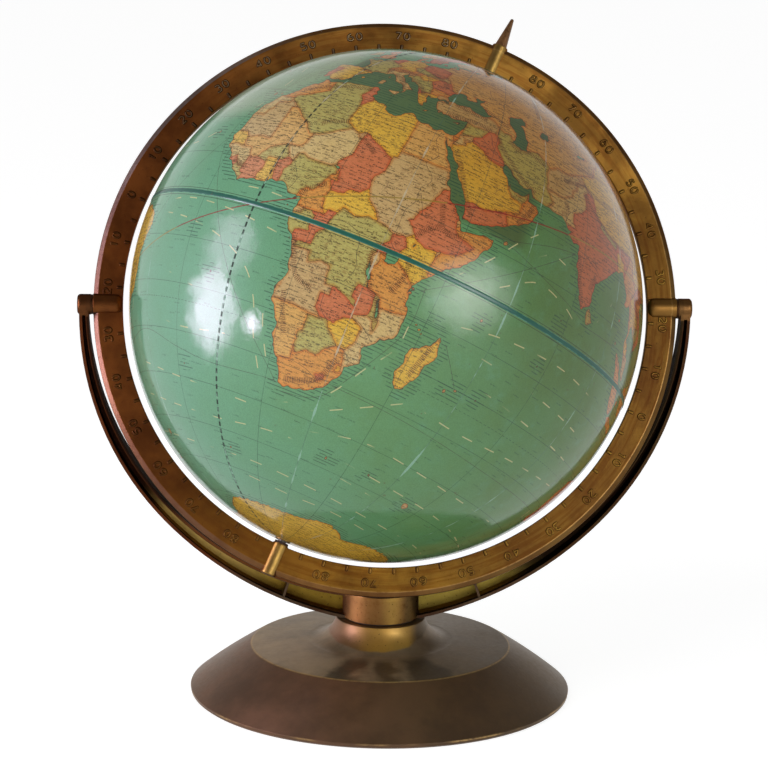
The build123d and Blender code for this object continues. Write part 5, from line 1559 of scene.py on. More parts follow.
    def sea(self):
        """Sea that yellows, browns and darkens to the right, partly aged varnish and partly painted shade,
        darker in the enclosed seas near the top as painted shade, and hatched along the shores.
        """
        w, settings = self.w, self.settings
        # Towards the right the sea yellows and darkens: partly aged varnish, partly painted shade
        shade = w.fade(self.across, -0.14, 0.02, settings.ocean, settings.ocean_mid)
        shade = w.fade(self.across, 0.0, 0.14, shade, settings.ocean_aged)
        cloud = w.band(w.noise(self.place, 110.0, 4.0, 0.6), 0.5, 0.8, 0.0, 0.3)
        shade = w.mix(cloud, shade, settings.ocean)
        # The enclosed seas near the top of the ball are darkened: painted shade
        gulf = self.region((30.0, 33.0), (60.0, 56.0), (11.5, 14.0), (92.0, 91.0))
        inland = self.region((-6.0, -4.5), (64.0, 60.0), (29.0, 31.5), (52.0, 47.0))
        shade = w.mix(w.most(gulf, inland), shade, (0.72, 0.5, 0.45), "MULTIPLY")
        chance = w.chance(w.steps(self.lat, 0.8), w.steps(self.lon, 6.0))["Value"]
        offing = w.math("GREATER_THAN", self.coast, w.scaled(chance, -4.8, -2.2))
        hatch = w.times(w.line(w.every(self.lat, 0.8), 0.11, 0.06), w.band(self.coast, -0.7, -0.9), offing)
        shade = self.ink(shade, (0.015, 0.06, 0.04), hatch, self.patchy(0.35, 0.35))
        marks = self.fine_marks(1.9, 5.5, 0.86)
        return self.ink(shade, (0.015, 0.05, 0.035), marks, w.band(self.coast, -3.0, -4.0), 0.5)

    def lines(self, shade):
        """Shore line, drawn lines, graticule, lines beside the tape and the yearly path of the sun."""
        w, lon, lat = self.w, self.lon, self.lat
        shade = self.ink(shade, (0.05, 0.03, 0.02), w.line(self.coast, 0.2, 0.12), 0.85)
        shade = self.ink(shade, (0.05, 0.04, 0.035), self.stroke("line", 0.15, 0.1), self.patchy(0.4, 0.4))
        parallel = w.line(w.times(w.every(lat, 10.0), MM_PER_DEGREE), 0.15, 0.1)
        meridian = w.line(w.times(w.every(lon, 15.0), MM_PER_DEGREE, self.shrink), 0.15, 0.1)
        tropic = w.line(w.times(w.less(w.size(lat), TROPIC), MM_PER_DEGREE), 0.17, 0.1)
        mesh = w.most(parallel, meridian, w.times(tropic, w.dash(lon, 1.25, 0.6)))
        shade = self.ink(shade, (0.02, 0.05, 0.035), mesh, self.patchy(0.35, 0.4))
        beside = w.line(w.less(w.times(w.size(lat), MM_PER_DEGREE), 2.35), 0.18, 0.1)
        shade = self.ink(shade, (0.02, 0.035, 0.02), beside, 0.8)
        sun = w.less(lat, w.times(w.math("SINE", w.math("RADIANS", lon)), TROPIC))
        month = w.dash(w.math("ADD", lon, 201.0), 60.0, 0.5)
        sun_ink = w.mix(month, (0.3, 0.2, 0.03), (0.24, 0.014, 0.016))
        return self.ink(shade, sun_ink, w.line(w.times(sun, MM_PER_DEGREE), 0.4, 0.12), self.patchy(0.7, 0.2))

    def currents(self, shade):
        """Pale dashes of the currents on the sea."""
        w = self.w
        dashes = w.times(self.stroke("stream", 0.31, 0.1), w.dash(w.attribute("stream_along"), 17.0, 0.43))
        held = w.band(w.noise(self.place, 32.0), 0.4, 0.5, 0.0, 0.85)
        return self.ink(shade, (0.62, 0.58, 0.3), dashes, w.less(1.0, self.land), held)

    def prime(self):
        """Mask of the dashes along the prime meridian."""
        w = self.w
        beat = w.dash(w.times(self.lat, MM_PER_DEGREE), 4.7, 0.62)
        return w.times(w.line(w.times(self.lon, MM_PER_DEGREE, self.shrink), 0.64, 0.12), beat)

    def seams(self, shade):
        """Pale seams where the gores meet, and a painted sheen on the varnish near the ball's upper left
        edge.
        """
        w = self.w
        lifted = w.noise(self.place, 60.0, 3.0, 0.6)
        seam = w.size(w.times(w.every(self.lon, 30.0), MM_PER_DEGREE, self.shrink))
        gap = w.less(seam, w.band(lifted, 0.45, 0.72, 0.05, 0.75))
        pale = w.times(w.band(gap, 0.12, -0.12), w.band(lifted, 0.38, 0.55, 0.2, 0.65))
        shade = w.mix(pale, shade, w.mix(self.land, (0.34, 0.58, 0.46), (0.6, 0.52, 0.36)))
        # A pale painted sheen near the ball's upper left edge
        offset = w.vector("SUBTRACT", self.place, tuple(CENTRE))
        limb_sheen = w.band(w.vector("DOT_PRODUCT", offset, (-0.39, -0.03, 0.925)), 0.1425, 0.1486)
        return self.ink(shade, (0.8, 0.7, 0.6), limb_sheen, 0.3)


def map_material(settings, grain):
    """Printed map: seas, tinted countries, coast lines, hatching, graticule, dashes and pasted seams, with
    painted shade and sheen.
    """
    material, w, shader = new_material("printed_map")
    layers = MapPrint(w, settings)
    shade = layers.lines(w.mix(layers.land, layers.sea(), layers.countries()))
    prime = layers.prime()
    shade = layers.ink(layers.currents(shade), (0.008, 0.01, 0.008), prime, 0.95)
    # Browned patches stronger to the right: partly aged varnish, partly painted shade
    browning_and_shade = w.band(layers.across, -0.08, 0.1, 0.1, 0.5)
    varnish(w, shader, layers.seams(shade), grain, browning_and_shade, w.scaled(prime, -0.69, 0.7))
    return material


def tape_material(grain):
    """Dark teal tape with a paler painted highlight along both edges, broken up by noise."""
    material, w, shader = new_material("equator_tape_paper")
    edge = w.band(w.size(w.attribute("across")), 0.55, 0.85)
    bright_patches = w.scaled(w.band(w.noise(w.place(), 200.0, 3.0), 0.45, 0.6), 0.5, 0.2)
    # Pale edges: painted highlight, broken up by noise
    shade = w.mix(w.times(edge, bright_patches), (0.014, 0.115, 0.085), (0.14, 0.36, 0.26))
    varnish(w, shader, shade, grain, 0.2, 0.5)
    return material


def entries(table):
    """The paragraphs of a table, without the lines that name a region."""
    lines = [line for line in table.strip().split("\n") if not line.startswith("#")]
    return "\n".join(lines).split("\n\n")


def places(text):
    """Rows of numbers from a text of comma-joined figures."""
    return np.array([entry.split(",") for entry in text.split()], float)


def globe_point(lon, lat, radius, spin):
    """Points on the ball: radius (cos lat (cos a S + sin a B) + sin lat P), with a = lon + spin."""
    turn, rise = np.radians(lon)[..., None] + spin, np.radians(lat)[..., None]
    flat = np.cos(turn) * POLE_SIDE + np.sin(turn) * RING_BACK
    return CENTRE + radius * (np.cos(rise) * flat + np.sin(rise) * POLE)


def shaken(lon, lat, size):
    """Longitudes and latitudes moved by a sum of sines, so that drawn outlines wander as real coasts do."""
    waves = (
        (1.27, 0.9, 0.3, 1.0), (-0.8, 1.6, 2.1, 0.8), (2.7, -1.9, 4.4, 0.5), (3.6, 3.1, 1.3, 0.35),
        (-6.1, 5.2, 0.7, 0.22))
    east = sum(gain * np.sin(a * lon + b * lat + c) for a, b, c, gain in waves)
    north = sum(gain * np.sin(b * lon - a * lat + 2.3 * c) for a, b, c, gain in waves)
    return lon + size * east, lat + size * north


def near_chain(lon, lat, chain, closed, margin=3.0):
    """Distances in millimetres from places on the map to a chain of longitude,latitude points.

    Near a place the map is flat: east = (lon_i - lon) cos lat, north = lat_i - lat.  The point of the segment
    from a to b nearest to the origin is a + t (b - a) with t = clip(-a.(b - a) / |b - a|^2, 0, 1).  Returns
    the chosen places, their distances, whether they lie inside (an eastward line crosses the chain an odd
    number of times), the side of the chain they lie on, and how far along it they are.
    """
    middle = 0.5 * (chain[:, 0].min() + chain[:, 0].max())
    lon = (lon - middle + 180.0) % 360.0 - 180.0 + middle
    wide = margin / np.maximum(np.cos(np.radians(lat)), 0.05)
    chosen = np.flatnonzero(
        (lat > chain[:, 1].min() - margin) & (lat < chain[:, 1].max() + margin)
        & (lon > chain[:, 0].min() - wide) & (lon < chain[:, 0].max() + wide))
    lon, lat = lon[chosen], lat[chosen]
    shrink = np.cos(np.radians(lat))
    best = np.full(len(chosen), 1e9)
    side, along = np.zeros(len(chosen)), np.full(len(chosen), -1.0)
    inside = np.zeros(len(chosen), bool)
    ends = np.roll(chain, -1, axis=0) if closed else chain[1:]
    run = 0.0
    for (lon_a, lat_a), (lon_b, lat_b) in zip(chain, ends):
        ax, ay = (lon_a - lon) * shrink, lat_a - lat
        dx, dy = (lon_b - lon_a) * shrink, lat_b - lat_a
        length = np.sqrt(dx * dx + dy * dy) + 1e-9
        free = -(ax * dx + ay * dy) / length ** 2
        t = np.clip(free, 0.0, 1.0)
        gap = np.hypot(ax + t * dx, ay + t * dy)
        nearer = gap < best
        best = np.where(nearer, gap, best)
        side = np.where(nearer, np.sign(dx * ay - dy * ax), side)
        along = np.where(nearer, run + free * length, along)
        run += np.hypot((lon_b - lon_a) * cos(radians(0.5 * (lat_a + lat_b))), dy)
        if closed and lat_a != lat_b:
            spans = (lat_a <= lat) != (lat_b <= lat)
            inside ^= spans & (lon < lon_a + (lat - lat_a) / dy * (lon_b - lon_a))
    ended = (along < 0.0) | (along > run)
    return chosen, best * MM_PER_DEGREE, inside, np.where(ended, 0.0, side), along * MM_PER_DEGREE


def smooth_chain(chain, steps=8):
    """A chain of points made smooth: Catmull-Rom curves through the points, steps pieces to each gap."""
    padded = np.vstack([2 * chain[0] - chain[1], chain, 2 * chain[-1] - chain[-2]])
    a, b, c, d = (padded[index:len(padded) - 3 + index, None] for index in range(4))
    t = np.linspace(0, 1, steps, endpoint=False)[None, :, None]
    curve = 0.5 * (
        2 * b + (c - a) * t + (2 * a - 5 * b + 4 * c - d) * t ** 2 + (3 * b - a - 3 * c + d) * t ** 3)
    return np.vstack([curve.reshape(-1, 2), chain[-1:]])


def coast_field(lon, lat):
    """Signed distance in millimetres to the nearest shore: positive on land."""
    lon, lat = shaken(lon, lat, 0.16)
    reach = 3.0 * MM_PER_DEGREE
    field = np.full(len(lon), -reach)
    for text in entries(LANDS):
        chosen, gap, inside, _, _ = near_chain(lon, lat, places(text), True)
        field[chosen] = np.maximum(field[chosen], np.where(inside, gap, -gap))
    for text in entries(WATERS):
        chosen, gap, inside, _, _ = near_chain(lon, lat, places(text), True)
        field[chosen] = np.minimum(field[chosen], np.where(inside, -gap, gap))
    for islet_lon, islet_lat, radius in places(ISLETS):
        east = ((lon - islet_lon + 180.0) % 360.0 - 180.0) * np.cos(np.radians(lat))
        field = np.maximum(field, (radius - np.hypot(east, lat - islet_lat)) * MM_PER_DEGREE)
    return np.clip(field, -reach, reach)


def tint_fields(lon, lat):
    """Three signed distances to the nearest border, one to each bit of the country's tint number.

    A country painted later covers the borders it lies over.  Each field is kept at least 0.35 mm from zero,
    so that it crosses zero only where its bit changes.
    """
    lon, lat = shaken(lon, lat, 0.07)
    number = np.full(len(lon), TINTS.index("tan"))
    border = np.full(len(lon), 8.0)
    for text in entries(COUNTRIES):
        name, outline = text.split(maxsplit=1)
        chosen, gap, inside, _, _ = near_chain(lon, lat, places(outline), True)
        border[chosen] = np.where(inside, gap, np.minimum(border[chosen], gap))
        number[chosen] = np.where(inside, TINTS.index(name), number[chosen])
    border = np.clip(border, 0.35, 8.0)
    return {f"tint_{bit}": np.where(number & bit, border, -border) for bit in TINT_BITS}


def stroke_fields(lon, lat, chains):
    """Signed distance to the nearest drawn stroke, distance along it, and 1 where a stroke is near."""
    best = np.full(len(lon), 3.0)
    signed, along, near = np.full(len(lon), 3.0), np.zeros(len(lon)), np.zeros(len(lon))
    for text in entries(chains):
        chosen, gap, _, side, run = near_chain(lon, lat, smooth_chain(places(text)), False, 1.2)
        nearer = (gap < best[chosen]) & (side != 0.0)
        picked = chosen[nearer]
        best[picked] = gap[nearer]
        signed[picked] = gap[nearer] * side[nearer]
        along[picked] = run[nearer]
        near[picked] = gap[nearer] < 2.4
    return signed, along, near


def set_attributes(mesh, **values):
    """Store one number per vertex under each name."""
    for name, numbers in values.items():
        layer = mesh.attributes.new(name, "FLOAT", "POINT")
        layer.data.foreach_set("value", np.ascontiguousarray(numbers, np.float32).ravel())


def arc(x, y, rx, ry, start, end, count=14):
    """Points of an elliptical arc, angles in degrees."""
    angle = np.radians(np.linspace(start, end, count))
    return np.stack([x + rx * np.cos(angle), y + ry * np.sin(angle)], axis=-1)


def figure_strokes(digit):
    """The strokes of one figure in a cell 0.6 wide and 1 high, each a chain of points."""
    strokes = {
        "0": [arc(0.3, 0.5, 0.27, 0.5, 90, 450, 28)],
        "1": [np.array([(0.1, 0.78), (0.32, 1.0), (0.32, 0.0)])],
        "2": [np.vstack([arc(0.3, 0.72, 0.27, 0.28, 165, -35), [(0.03, 0.0), (0.6, 0.0)]])],
        "3": [np.vstack([arc(0.28, 0.75, 0.25, 0.25, 150, -75), arc(0.28, 0.26, 0.3, 0.27, 75, -150)])],
        "4": [np.array([(0.44, 0.0), (0.44, 1.0), (0.0, 0.3), (0.6, 0.3)])],
        "5": [np.vstack([[(0.54, 1.0), (0.12, 1.0), (0.06, 0.56)], arc(0.29, 0.31, 0.29, 0.31, 130, -150)])],
        "6": [np.vstack([
            [(0.5, 0.95)], arc(0.44, 0.36, 0.42, 0.62, 115, 190), arc(0.3, 0.29, 0.28, 0.29, 180, 540, 24)])],
        "7": [np.array([(0.02, 1.0), (0.6, 1.0), (0.22, 0.0)])],
        "8": [arc(0.3, 0.76, 0.22, 0.24, 90, 450, 24), arc(0.3, 0.27, 0.28, 0.27, 90, 450, 24)],
    }
    return strokes[digit]


def figure_chains(text, height):
    """The strokes of a whole number about its middle, as even chains of points."""
    for place, digit in enumerate(text):
        shift = 0.9 * (place - 0.5 * (len(text) - 1)) - 0.3
        for stroke in figure_strokes(digit):
            yield (resampled(stroke, 30) + (shift, -0.5)) * height * (1.4, 1.0)


def resampled(chain, count):
    """A chain of points spaced evenly along its length."""
    steps = np.linalg.norm(np.diff(chain, axis=0), axis=1)
    run = np.concatenate([[0.0], np.cumsum(steps)])
    even = np.linspace(0.0, run[-1], count)
    return np.stack([np.interp(even, run, chain[:, axis]) for axis in range(chain.shape[1])], axis=-1)


def ridge(chain, half_width, rise, spots=7):
    """A low rounded ridge along a flat chain of points (x, y), as points (x, y, height).

    P(s, v) = chain(s) + half_width cos v side(s), height = rise sin v, for v from 0 to pi; the ends close to
    a point.
    """
    ahead = unit(np.gradient(chain, axis=0))
    side = np.stack([-ahead[:, 1], ahead[:, 0]], axis=-1)
    swell = np.ones(len(chain))
    swell[[0, -1]] = 0.0
    v = np.linspace(0.0, pi, spots)[None, :, None]
    flat = chain[:, None] + half_width * swell[:, None, None] * np.cos(v) * side[:, None]
    height = rise * np.sin(v) * np.ones((len(chain), 1, 1)) * np.maximum(swell, 0.3)[:, None, None]
    return np.concatenate([flat, height], axis=-1)


def finish_node(name, material):
    """Give a CAD node its material."""
    frame["nodes"][name].data.materials[0] = material


class GlobeOperator:
    """Shared by the operators: the metal's settings."""

    bl_options = {"REGISTER", "UNDO"}

    @property
    def metal(self):
        return bpy.context.scene.globe_metal


class GLOBE_OT_map(GlobeOperator, bpy.types.Operator):
    """Add the printed paper gores and the tape over the equator."""

    bl_idname = "globe.printed_map"
    bl_label = "Printed map"

    def execute(self, context):
        settings = context.scene.globe_map
        grain = print_grain_group()
        material = map_material(settings, grain)
        limit = 90.0 - degrees(settings.pole_hole / BALL_RADIUS)
        width = 360.0 / settings.gores
        rows = np.linspace(-limit, limit, settings.rows)
        for number in range(settings.gores):
            start = -180.0 + number * width
            columns = np.linspace(start, start + width, settings.columns)
            lat, lon = np.meshgrid(rows, columns, indexing="ij")
            surface = grid(globe_point(lon, lat, BALL_RADIUS, settings.spin))
            piece = make_piece(
                f"map_gore_{number + 1:02d}", surface, "globe", material,
                ("map_gores_north", "map_gores_south"))
            lon, lat = lon.ravel(), lat.ravel()
            stream, stream_along, stream_near = stroke_fields(lon, lat, CURRENTS)
            line, _, line_near = stroke_fields(lon, lat, LINES)
            peaks, range_along, range_near = stroke_fields(lon, lat, RANGES)
            set_attributes(
                piece.data, lon=lon, lat=lat, coast=coast_field(lon, lat), **tint_fields(lon, lat),
                stream=stream, stream_along=stream_along, stream_near=stream_near, line=line,
                line_near=line_near, range=peaks, range_along=range_along, range_near=range_near)
        self.add_tape(settings, grain)
        return {"FINISHED"}

    def add_tape(self, settings, grain):
        """P(u, v) = ball point at longitude u and latitude v, raised by rise (1 - v^4) less a sunk edge.

        v goes from -1 to 1 over the tape's width.
        """
        sunk = 0.00002
        across = np.linspace(-1.0, 1.0, 13)[:, None]
        lon = np.linspace(-180.0, 180.0, 720, endpoint=False)[None, :]
        lat = degrees(settings.tape_half_width / BALL_RADIUS) * across
        radius = (BALL_RADIUS + settings.tape_rise * (1.0 - across ** 4) - sunk) * np.ones_like(lon)
        lat, lon = np.broadcast_arrays(lat, lon)
        points = globe_point(lon, lat, radius[..., None], settings.spin)
        piece = make_piece(
            "equator_tape_band", grid(points, wrap_columns=True), "globe", tape_material(grain),
            ("equator_tape",))
        set_attributes(piece.data, across=np.broadcast_to(across, lon.shape))


class GLOBE_OT_ring(GlobeOperator, bpy.types.Operator):
    """Add the meridian ring with its barrels, figures and ticks."""

    bl_idname = "globe.meridian_ring"
    bl_label = "Meridian ring"

    # Radii, half thickness, the bevels' width and depth, the gap inside the ticks, depth of the ridges' feet
    inner = 0.1558
    outer = 0.1732
    half = 0.003
    bevel = (0.0028, 0.0018)
    tick_gap = 0.0004
    sunk = 0.00003

    def execute(self, context):
        material = ring_material(self.metal)
        wide, deep = self.bevel
        corners = [
            (self.inner, -self.half), (self.outer - wide, -self.half), (self.outer, deep - self.half),
            (self.outer, self.half - deep), (self.outer - wide, self.half), (self.inner, self.half)]
        profile = rounded(corners, [0.0005, 0.0004, 0.0004, 0.0004, 0.0004, 0.0005])
        hoop = turned(profile, CENTRE, RING_BACK, TILT_AXIS, 480)
        pole = self.barrel(0.0048, 0.1549, 0.1744, (0.0008, 0.0008), 7)
        pivot = self.barrel(0.0064, 0.156, 0.1734, (0.0044, 0.0006), 9)
        ends = ((pole, POLE), (pole, -POLE), (pivot, TILT_AXIS), (pivot, -TILT_AXIS))
        barrels = [turned(outline, CENTRE, axis, RING_BACK, 48) for outline, axis in ends]
        piece = make_piece(
            "meridian_ring_body", joined(hoop, *barrels), "meridian", material,
            ("meridian_ring",), sharp=radians(50), weld=True)
        check_fit(piece, "meridian_ring")
        self.add_figures()
        return {"FINISHED"}

    @staticmethod
    def barrel(radius, start, end, rounds, steps):
        """Outline of a barrel from start to end along its axis, its two rims rounded."""
        corners = [(0.0, start), (radius, start), (radius, end), (0.0, end)]
        return rounded(corners, [1e-6, *rounds, 1e-6], steps)

    def add_figures(self):
        """Figures 0 to 80 in tens both ways from each pole, tops outward, and a tick every five degrees."""
        settings = self.metal
        foot = self.inner + self.tick_gap
        tick = resampled(np.array([(0.0, foot), (0.0, foot + settings.tick_length)]), 10)
        ridges = []
        for latitude, hand in product(range(-85, 90, 5), (-1, 1)):
            angle = POLE_ANGLE + hand * radians(90 - latitude)
            ridges.append(self.placed(ridge(tick, settings.tick_stroke, settings.figure_rise), angle, 0.0))
            if latitude % 10 == 0:
                for chain in figure_chains(str(abs(latitude)), settings.figure_height):
                    raised = ridge(chain, settings.figure_stroke, settings.figure_rise)
                    ridges.append(self.placed(raised, angle, settings.figure_radius))
        surface = joined(*[grid(points) for points, _ in ridges])
        piece = make_piece("ring_figures", surface, "meridian", figure_material(settings))
        set_attributes(piece.data, crest=np.concatenate([crest.ravel() for _, crest in ridges]))

    def placed(self, points, angle, radius):
        """A flat ridge laid on the ring's front face at an angle, its y outward, and its height share."""
        radial = np.sin(angle) * TILT_AXIS + np.cos(angle) * RING_UP
        tangent = np.cos(angle) * TILT_AXIS - np.sin(angle) * RING_UP
        front = -self.half + self.sunk - points[..., 2:3]
        world = CENTRE + points[..., :1] * tangent + (radius + points[..., 1:2]) * radial + front * RING_BACK
        return world, points[..., 2] / self.metal.figure_rise


class GLOBE_OT_cradle(GlobeOperator, bpy.types.Operator):
    """Finish the cradle."""

    bl_idname = "globe.cradle"
    bl_label = "Cradle"

    def execute(self, context):
        finish_node("cradle_frame", cradle_material(self.metal))
        return {"FINISHED"}


class GLOBE_OT_base(GlobeOperator, bpy.types.Operator):
    """Add the spun base and finish the board under it."""

    bl_idname = "globe.base"
    bl_label = "Base"

    def execute(self, context):
        neck_top, neck_foot = (0.027, 0.046), (0.044, 0.0322)
        crease, rim = (0.0783, 0.0289), (0.115, 0.003)
        flare = self.circle(neck_top, (0.0312, 0.0376), neck_foot, 20)[1:-1]
        skirt = self.circle(crease, (0.0971, 0.0166), rim, 16)[1:-1]
        outside = [
            [(0.0042, 0.046), neck_top], flare, [neck_foot, crease], skirt,
            [rim, (0.11475, 0.0011), (0.1133, 0.0)]]
        inside = [
            (0.103, 0.0), (0.103, 0.0016), (0.112, 0.0016), (0.112, 0.003), (0.0772, 0.0273), (0.042, 0.0306),
            (0.029, 0.0322), (0.023, 0.042), (0.0042, 0.042)]
        corners = np.vstack([*outside, inside])
        # Every corner a little rounded, the neck's top edge and the crease more
        reach = np.full(len(corners), 0.00012)
        reach[[1, len(flare) + 3]] = (0.0006, 0.0009)
        profile = rounded(corners, reach, 4)
        up, side = np.array([0.0, 0.0, 1.0]), np.array([1.0, 0.0, 0.0])
        surface = turned(profile, np.zeros(3), up, side, 256)
        piece = make_piece(
            "base_dish_spun", surface, "base", base_material(self.metal), ("base_dish",),
            sharp=radians(35))
        check_fit(piece, "base_dish")
        finish_node("base_bottom_board", board_material("base_board", (0.11, 0.055, 0.024)))
        finish_node("seam_washer", board_material("seam_fibre", (0.03, 0.018, 0.012)))
        return {"FINISHED"}

    @staticmethod
    def circle(first, middle, last, count):
        """Points of the circle arc through three points (radius, height)."""
        a, b, c = (complex(*point) for point in (first, middle, last))
        w = (c - a) / (b - a)
        centre = (b - a) * (w - abs(w) ** 2) / (2j * w.imag) + a
        start, end = (np.angle(point - centre) for point in (a, c))
        sweep = (end - start + pi) % (2 * pi) - pi
        angles = start + np.linspace(0.0, 1.0, count) * sweep
        spot = centre + abs(a - centre) * np.exp(1j * angles)
        return np.stack([spot.real, spot.imag], axis=-1)


class GLOBE_OT_fittings(GlobeOperator, bpy.types.Operator):
    """Finish the finial, pins, washers, eyelets, bolt and the board halves of the ball."""

    bl_idname = "globe.fittings"
    bl_label = "Fittings"

    def execute(self, context):
        metal = self.metal
        finial, w, shader = new_material("finial_bronze")
        tones = (metal.dark, (0.19, 0.07, 0.025), metal.bright)
        finish_bronze(w, shader, tones, 0.65, 0.15, Wear=0.15, Specks=0.2)
        steel = plain_metal("tarnished_steel", (0.2, 0.185, 0.16), 0.35, 0.9)
        brass = plain_metal("dull_brass", (0.36, 0.22, 0.07), 0.35, 0.8)
        brown = plain_metal("browned_brass", (0.07, 0.03, 0.011), 0.45, 0.95)
        board = board_material("ball_board", (0.3, 0.2, 0.11))
        fibre = board_material("dark_fibre", (0.05, 0.025, 0.014))
        finishes = {
            finial: ("north_pole_finial",),
            steel: ("pivot_pin_left", "pivot_pin_right", "south_pole_pin", "swivel_bolt",
                    "swivel_spring_washer", "swivel_flat_washer"),
            brown: ("pivot_washer_left", "pivot_washer_right"),
            brass: ("north_pole_ferrule", "south_pole_ferrule"),
            board: ("north_hemisphere", "south_hemisphere", "joining_hoop"),
            fibre: ("north_pole_washer", "south_pole_washer"),
        }
        for material, names in finishes.items():
            for name in names:
                finish_node(name, material)
        return {"FINISHED"}


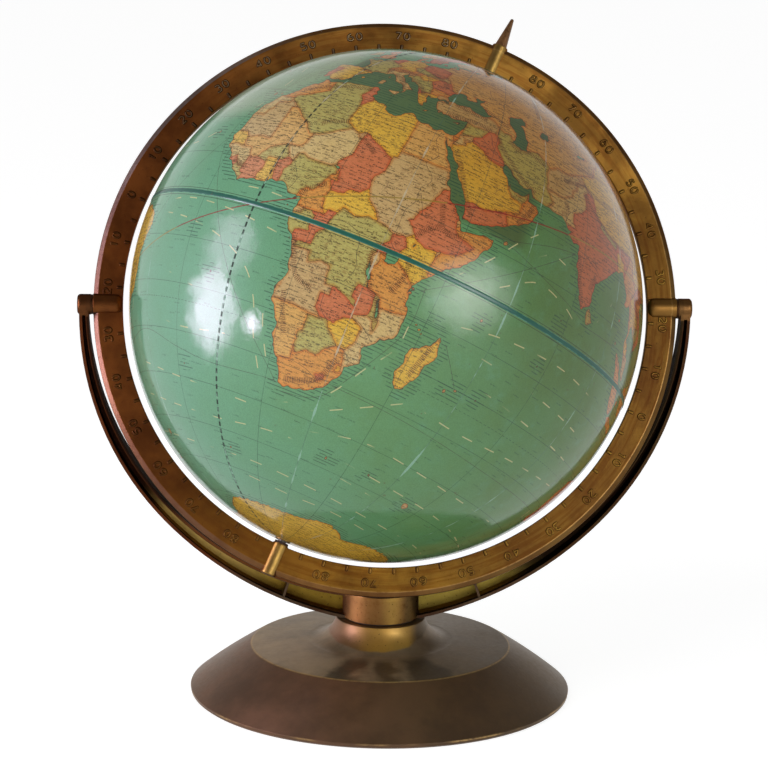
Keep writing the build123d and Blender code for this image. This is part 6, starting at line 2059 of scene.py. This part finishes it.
class GLOBE_OT_stage(GlobeOperator, bpy.types.Operator):
    """Add the floor, lamps, world and camera."""

    bl_idname = "globe.stage"
    bl_label = "Stage"

    white = (1.0, 1.0, 1.0)
    cool = (0.92, 0.76, 1.0)

    def execute(self, context):
        scene = context.scene
        settings = scene.globe_stage
        place, right, up, ahead = self.camera_axes(settings)
        data = bpy.data.cameras.new("stage_camera")
        data.lens = settings.lens
        data.sensor_width = 36.0
        data.clip_end = 60.0
        camera = bpy.data.objects.new("stage_camera", data)
        columns = np.stack([right, up, -ahead], axis=-1)
        camera.matrix_world = Matrix.Translation(Vector(place)) @ Matrix(columns.tolist()).to_4x4()
        scene.collection.objects.link(camera)
        scene.camera = camera
        pane = (-0.102, -0.111, 0.256)
        high, low, window, glare = settings.high, settings.low, settings.window, settings.glare
        lamps = (
            ("stage_high", high, (2.0, 2.0), (-1.49, -1.32, 1.58), CENTRE),
            ("stage_low", low, (1.2, 0.8), (0.69, -2.19, 0.47), CENTRE),
            ("stage_window", window, (0.5, 0.52), (-0.799, -0.176, 0.254), pane, 1.2, self.cool),
            ("stage_pane", 0.3 * window, (0.5, 0.42), (-0.736, -0.17, 0.56), pane, 1.2, self.cool),
            ("stage_spot", 0.17 * window, (0.15, 0.16), (-0.704, -0.445, 0.23), pane, 0.5, self.cool),
            ("stage_glare", glare, (1.5, 1.1), (0.71, -1.12, 0.57), CENTRE, 0.5, self.white, -0.2))
        pieces = [camera, self.floor(scene)]
        pieces += [self.lamp(*entry) for entry in lamps]
        self.world(scene, settings)
        scene.view_settings.view_transform = "Standard"
        return {"FINISHED"}

    @staticmethod
    def camera_axes(settings):
        """The camera's place and its right, up and forward directions."""
        turn, pitch, roll = settings.turn, settings.pitch, settings.roll
        place = np.array([settings.distance * sin(turn), -settings.distance * cos(turn), settings.height])
        heading = turn + settings.aside
        ahead = np.array([-sin(heading) * cos(pitch), cos(heading) * cos(pitch), sin(pitch)])
        right = np.array([cos(heading), sin(heading), 0.0])
        up = np.cross(right, ahead)
        return place, cos(roll) * right + sin(roll) * up, cos(roll) * up - sin(roll) * right, ahead

    @staticmethod
    def lamp(name, power, size, place, target, ragged=None, tint=white, core=0.4):
        """An area lamp that faces a target: a soft light, or a shine that fades to a ragged edge."""
        data = bpy.data.lights.new(name, "AREA")
        data.shape = "RECTANGLE"
        data.size, data.size_y = size
        data.energy = power
        data.color = tint
        lamp = bpy.data.objects.new(name, data)
        lamp.visible_glossy = ragged is not None
        lamp.visible_diffuse = ragged is None
        if ragged is not None:
            data.use_nodes = True
            w = Wiring(data.node_tree)
            spot = w.add("ShaderNodeNewGeometry", {}).outputs["Parametric"]
            spot = w.vector("SUBTRACT", spot, (0.5, 0.5, 0.0))
            out = w.vector("LENGTH", w.vector("MULTIPLY", spot, (2.0, 2.0, 0.0)))
            cloud = w.times(w.less(w.noise(spot, 7.0, 6.0, 0.72), 0.5), ragged * 2.0)
            strength = w.times(w.band(w.math("ADD", out, cloud), 0.9, core), w.band(out, 1.0, 0.8))
            w.feed(data.node_tree.nodes["Emission"].inputs["Strength"], strength)
        aim = Vector(np.asarray(target) - np.asarray(place)).to_track_quat("-Z", "Y")
        lamp.matrix_world = Matrix.Translation(Vector(place)) @ aim.to_matrix().to_4x4()
        bpy.context.scene.collection.objects.link(lamp)
        return lamp

    @staticmethod
    def floor(scene):
        """A wide pale floor that looks white to the camera and keeps the object's shadow."""
        half = 14.0
        corners = [[(x, y, 0.0) for x in (-half, half)] for y in (-half, half)]
        vertices, quads = grid(np.array(corners))
        mesh = bpy.data.meshes.new("stage_floor")
        mesh.from_pydata(vertices.tolist(), [], quads.tolist())
        floor = bpy.data.objects.new("stage_floor", mesh)
        scene.collection.objects.link(floor)
        material = bpy.data.materials.new("stage_floor")
        material.use_nodes = True
        tree = material.node_tree
        tree.nodes.clear()
        w = Wiring(tree)
        path = w.add("ShaderNodeLightPath", {}).outputs
        seen = w.most(path["Is Camera Ray"], path["Is Glossy Ray"], path["Is Transmission Ray"])
        grey = w.mix(seen, (0.92, 0.92, 0.92), (0.36, 0.36, 0.36))
        diffuse = w.add("ShaderNodeBsdfDiffuse", {"Color": grey})
        glow = w.add("ShaderNodeEmission", {"Strength": w.times(seen, 0.86)})
        mixed = w.add("ShaderNodeAddShader", {0: diffuse.outputs[0], 1: glow.outputs[0]})
        out = w.add("ShaderNodeOutputMaterial", {"Surface": mixed.outputs[0]})
        tree.nodes.active = out
        mesh.materials.append(material)
        return floor

    @staticmethod
    def world(scene, settings):
        """White at eye level behind the object, falling to grey overhead and in front."""
        world = bpy.data.worlds.new("stage_world")
        scene.world = world
        world.use_nodes = True
        w = Wiring(world.node_tree)
        way = w.add("ShaderNodeTexCoord", {}).outputs["Generated"]
        level = w.band(w.part(way, "Z"), 0.08, 0.6, 1.0, settings.overhead)
        front = w.band(w.part(way, "Y"), 0.2, -0.6, 1.0, settings.room)
        background = world.node_tree.nodes["Background"]
        background.inputs["Color"].default_value = (1.0, 1.0, 1.0, 1.0)
        w.feed(background.inputs["Strength"], w.times(level, front))


class GLOBE_PT_panel(bpy.types.Panel):
    """Buttons for building the globe."""

    bl_idname = "GLOBE_PT_panel"
    bl_label = "Globe"
    bl_space_type = "VIEW_3D"
    bl_region_type = "UI"
    bl_category = "Globe"

    def draw(self, context):
        for operator in OPERATORS:
            self.layout.operator(operator.bl_idname)


OPERATORS = (GLOBE_OT_map, GLOBE_OT_ring, GLOBE_OT_cradle, GLOBE_OT_base, GLOBE_OT_fittings, GLOBE_OT_stage)
CLASSES = (GlobeMapSettings, GlobeMetalSettings, GlobeStageSettings, *OPERATORS, GLOBE_PT_panel)


def register():
    for entry in CLASSES:
        bpy.utils.register_class(entry)
    bpy.types.Scene.globe_map = bpy.props.PointerProperty(type=GlobeMapSettings)
    bpy.types.Scene.globe_metal = bpy.props.PointerProperty(type=GlobeMetalSettings)
    bpy.types.Scene.globe_stage = bpy.props.PointerProperty(type=GlobeStageSettings)


def unregister():
    del bpy.types.Scene.globe_stage
    del bpy.types.Scene.globe_metal
    del bpy.types.Scene.globe_map
    for entry in reversed(CLASSES):
        bpy.utils.unregister_class(entry)


def main():
    """Build every piece in order."""
    register()
    bpy.ops.globe.printed_map()
    bpy.ops.globe.meridian_ring()
    bpy.ops.globe.cradle()
    bpy.ops.globe.base()
    bpy.ops.globe.fittings()
    bpy.ops.globe.stage()


if __name__ == "__main__":
    main()
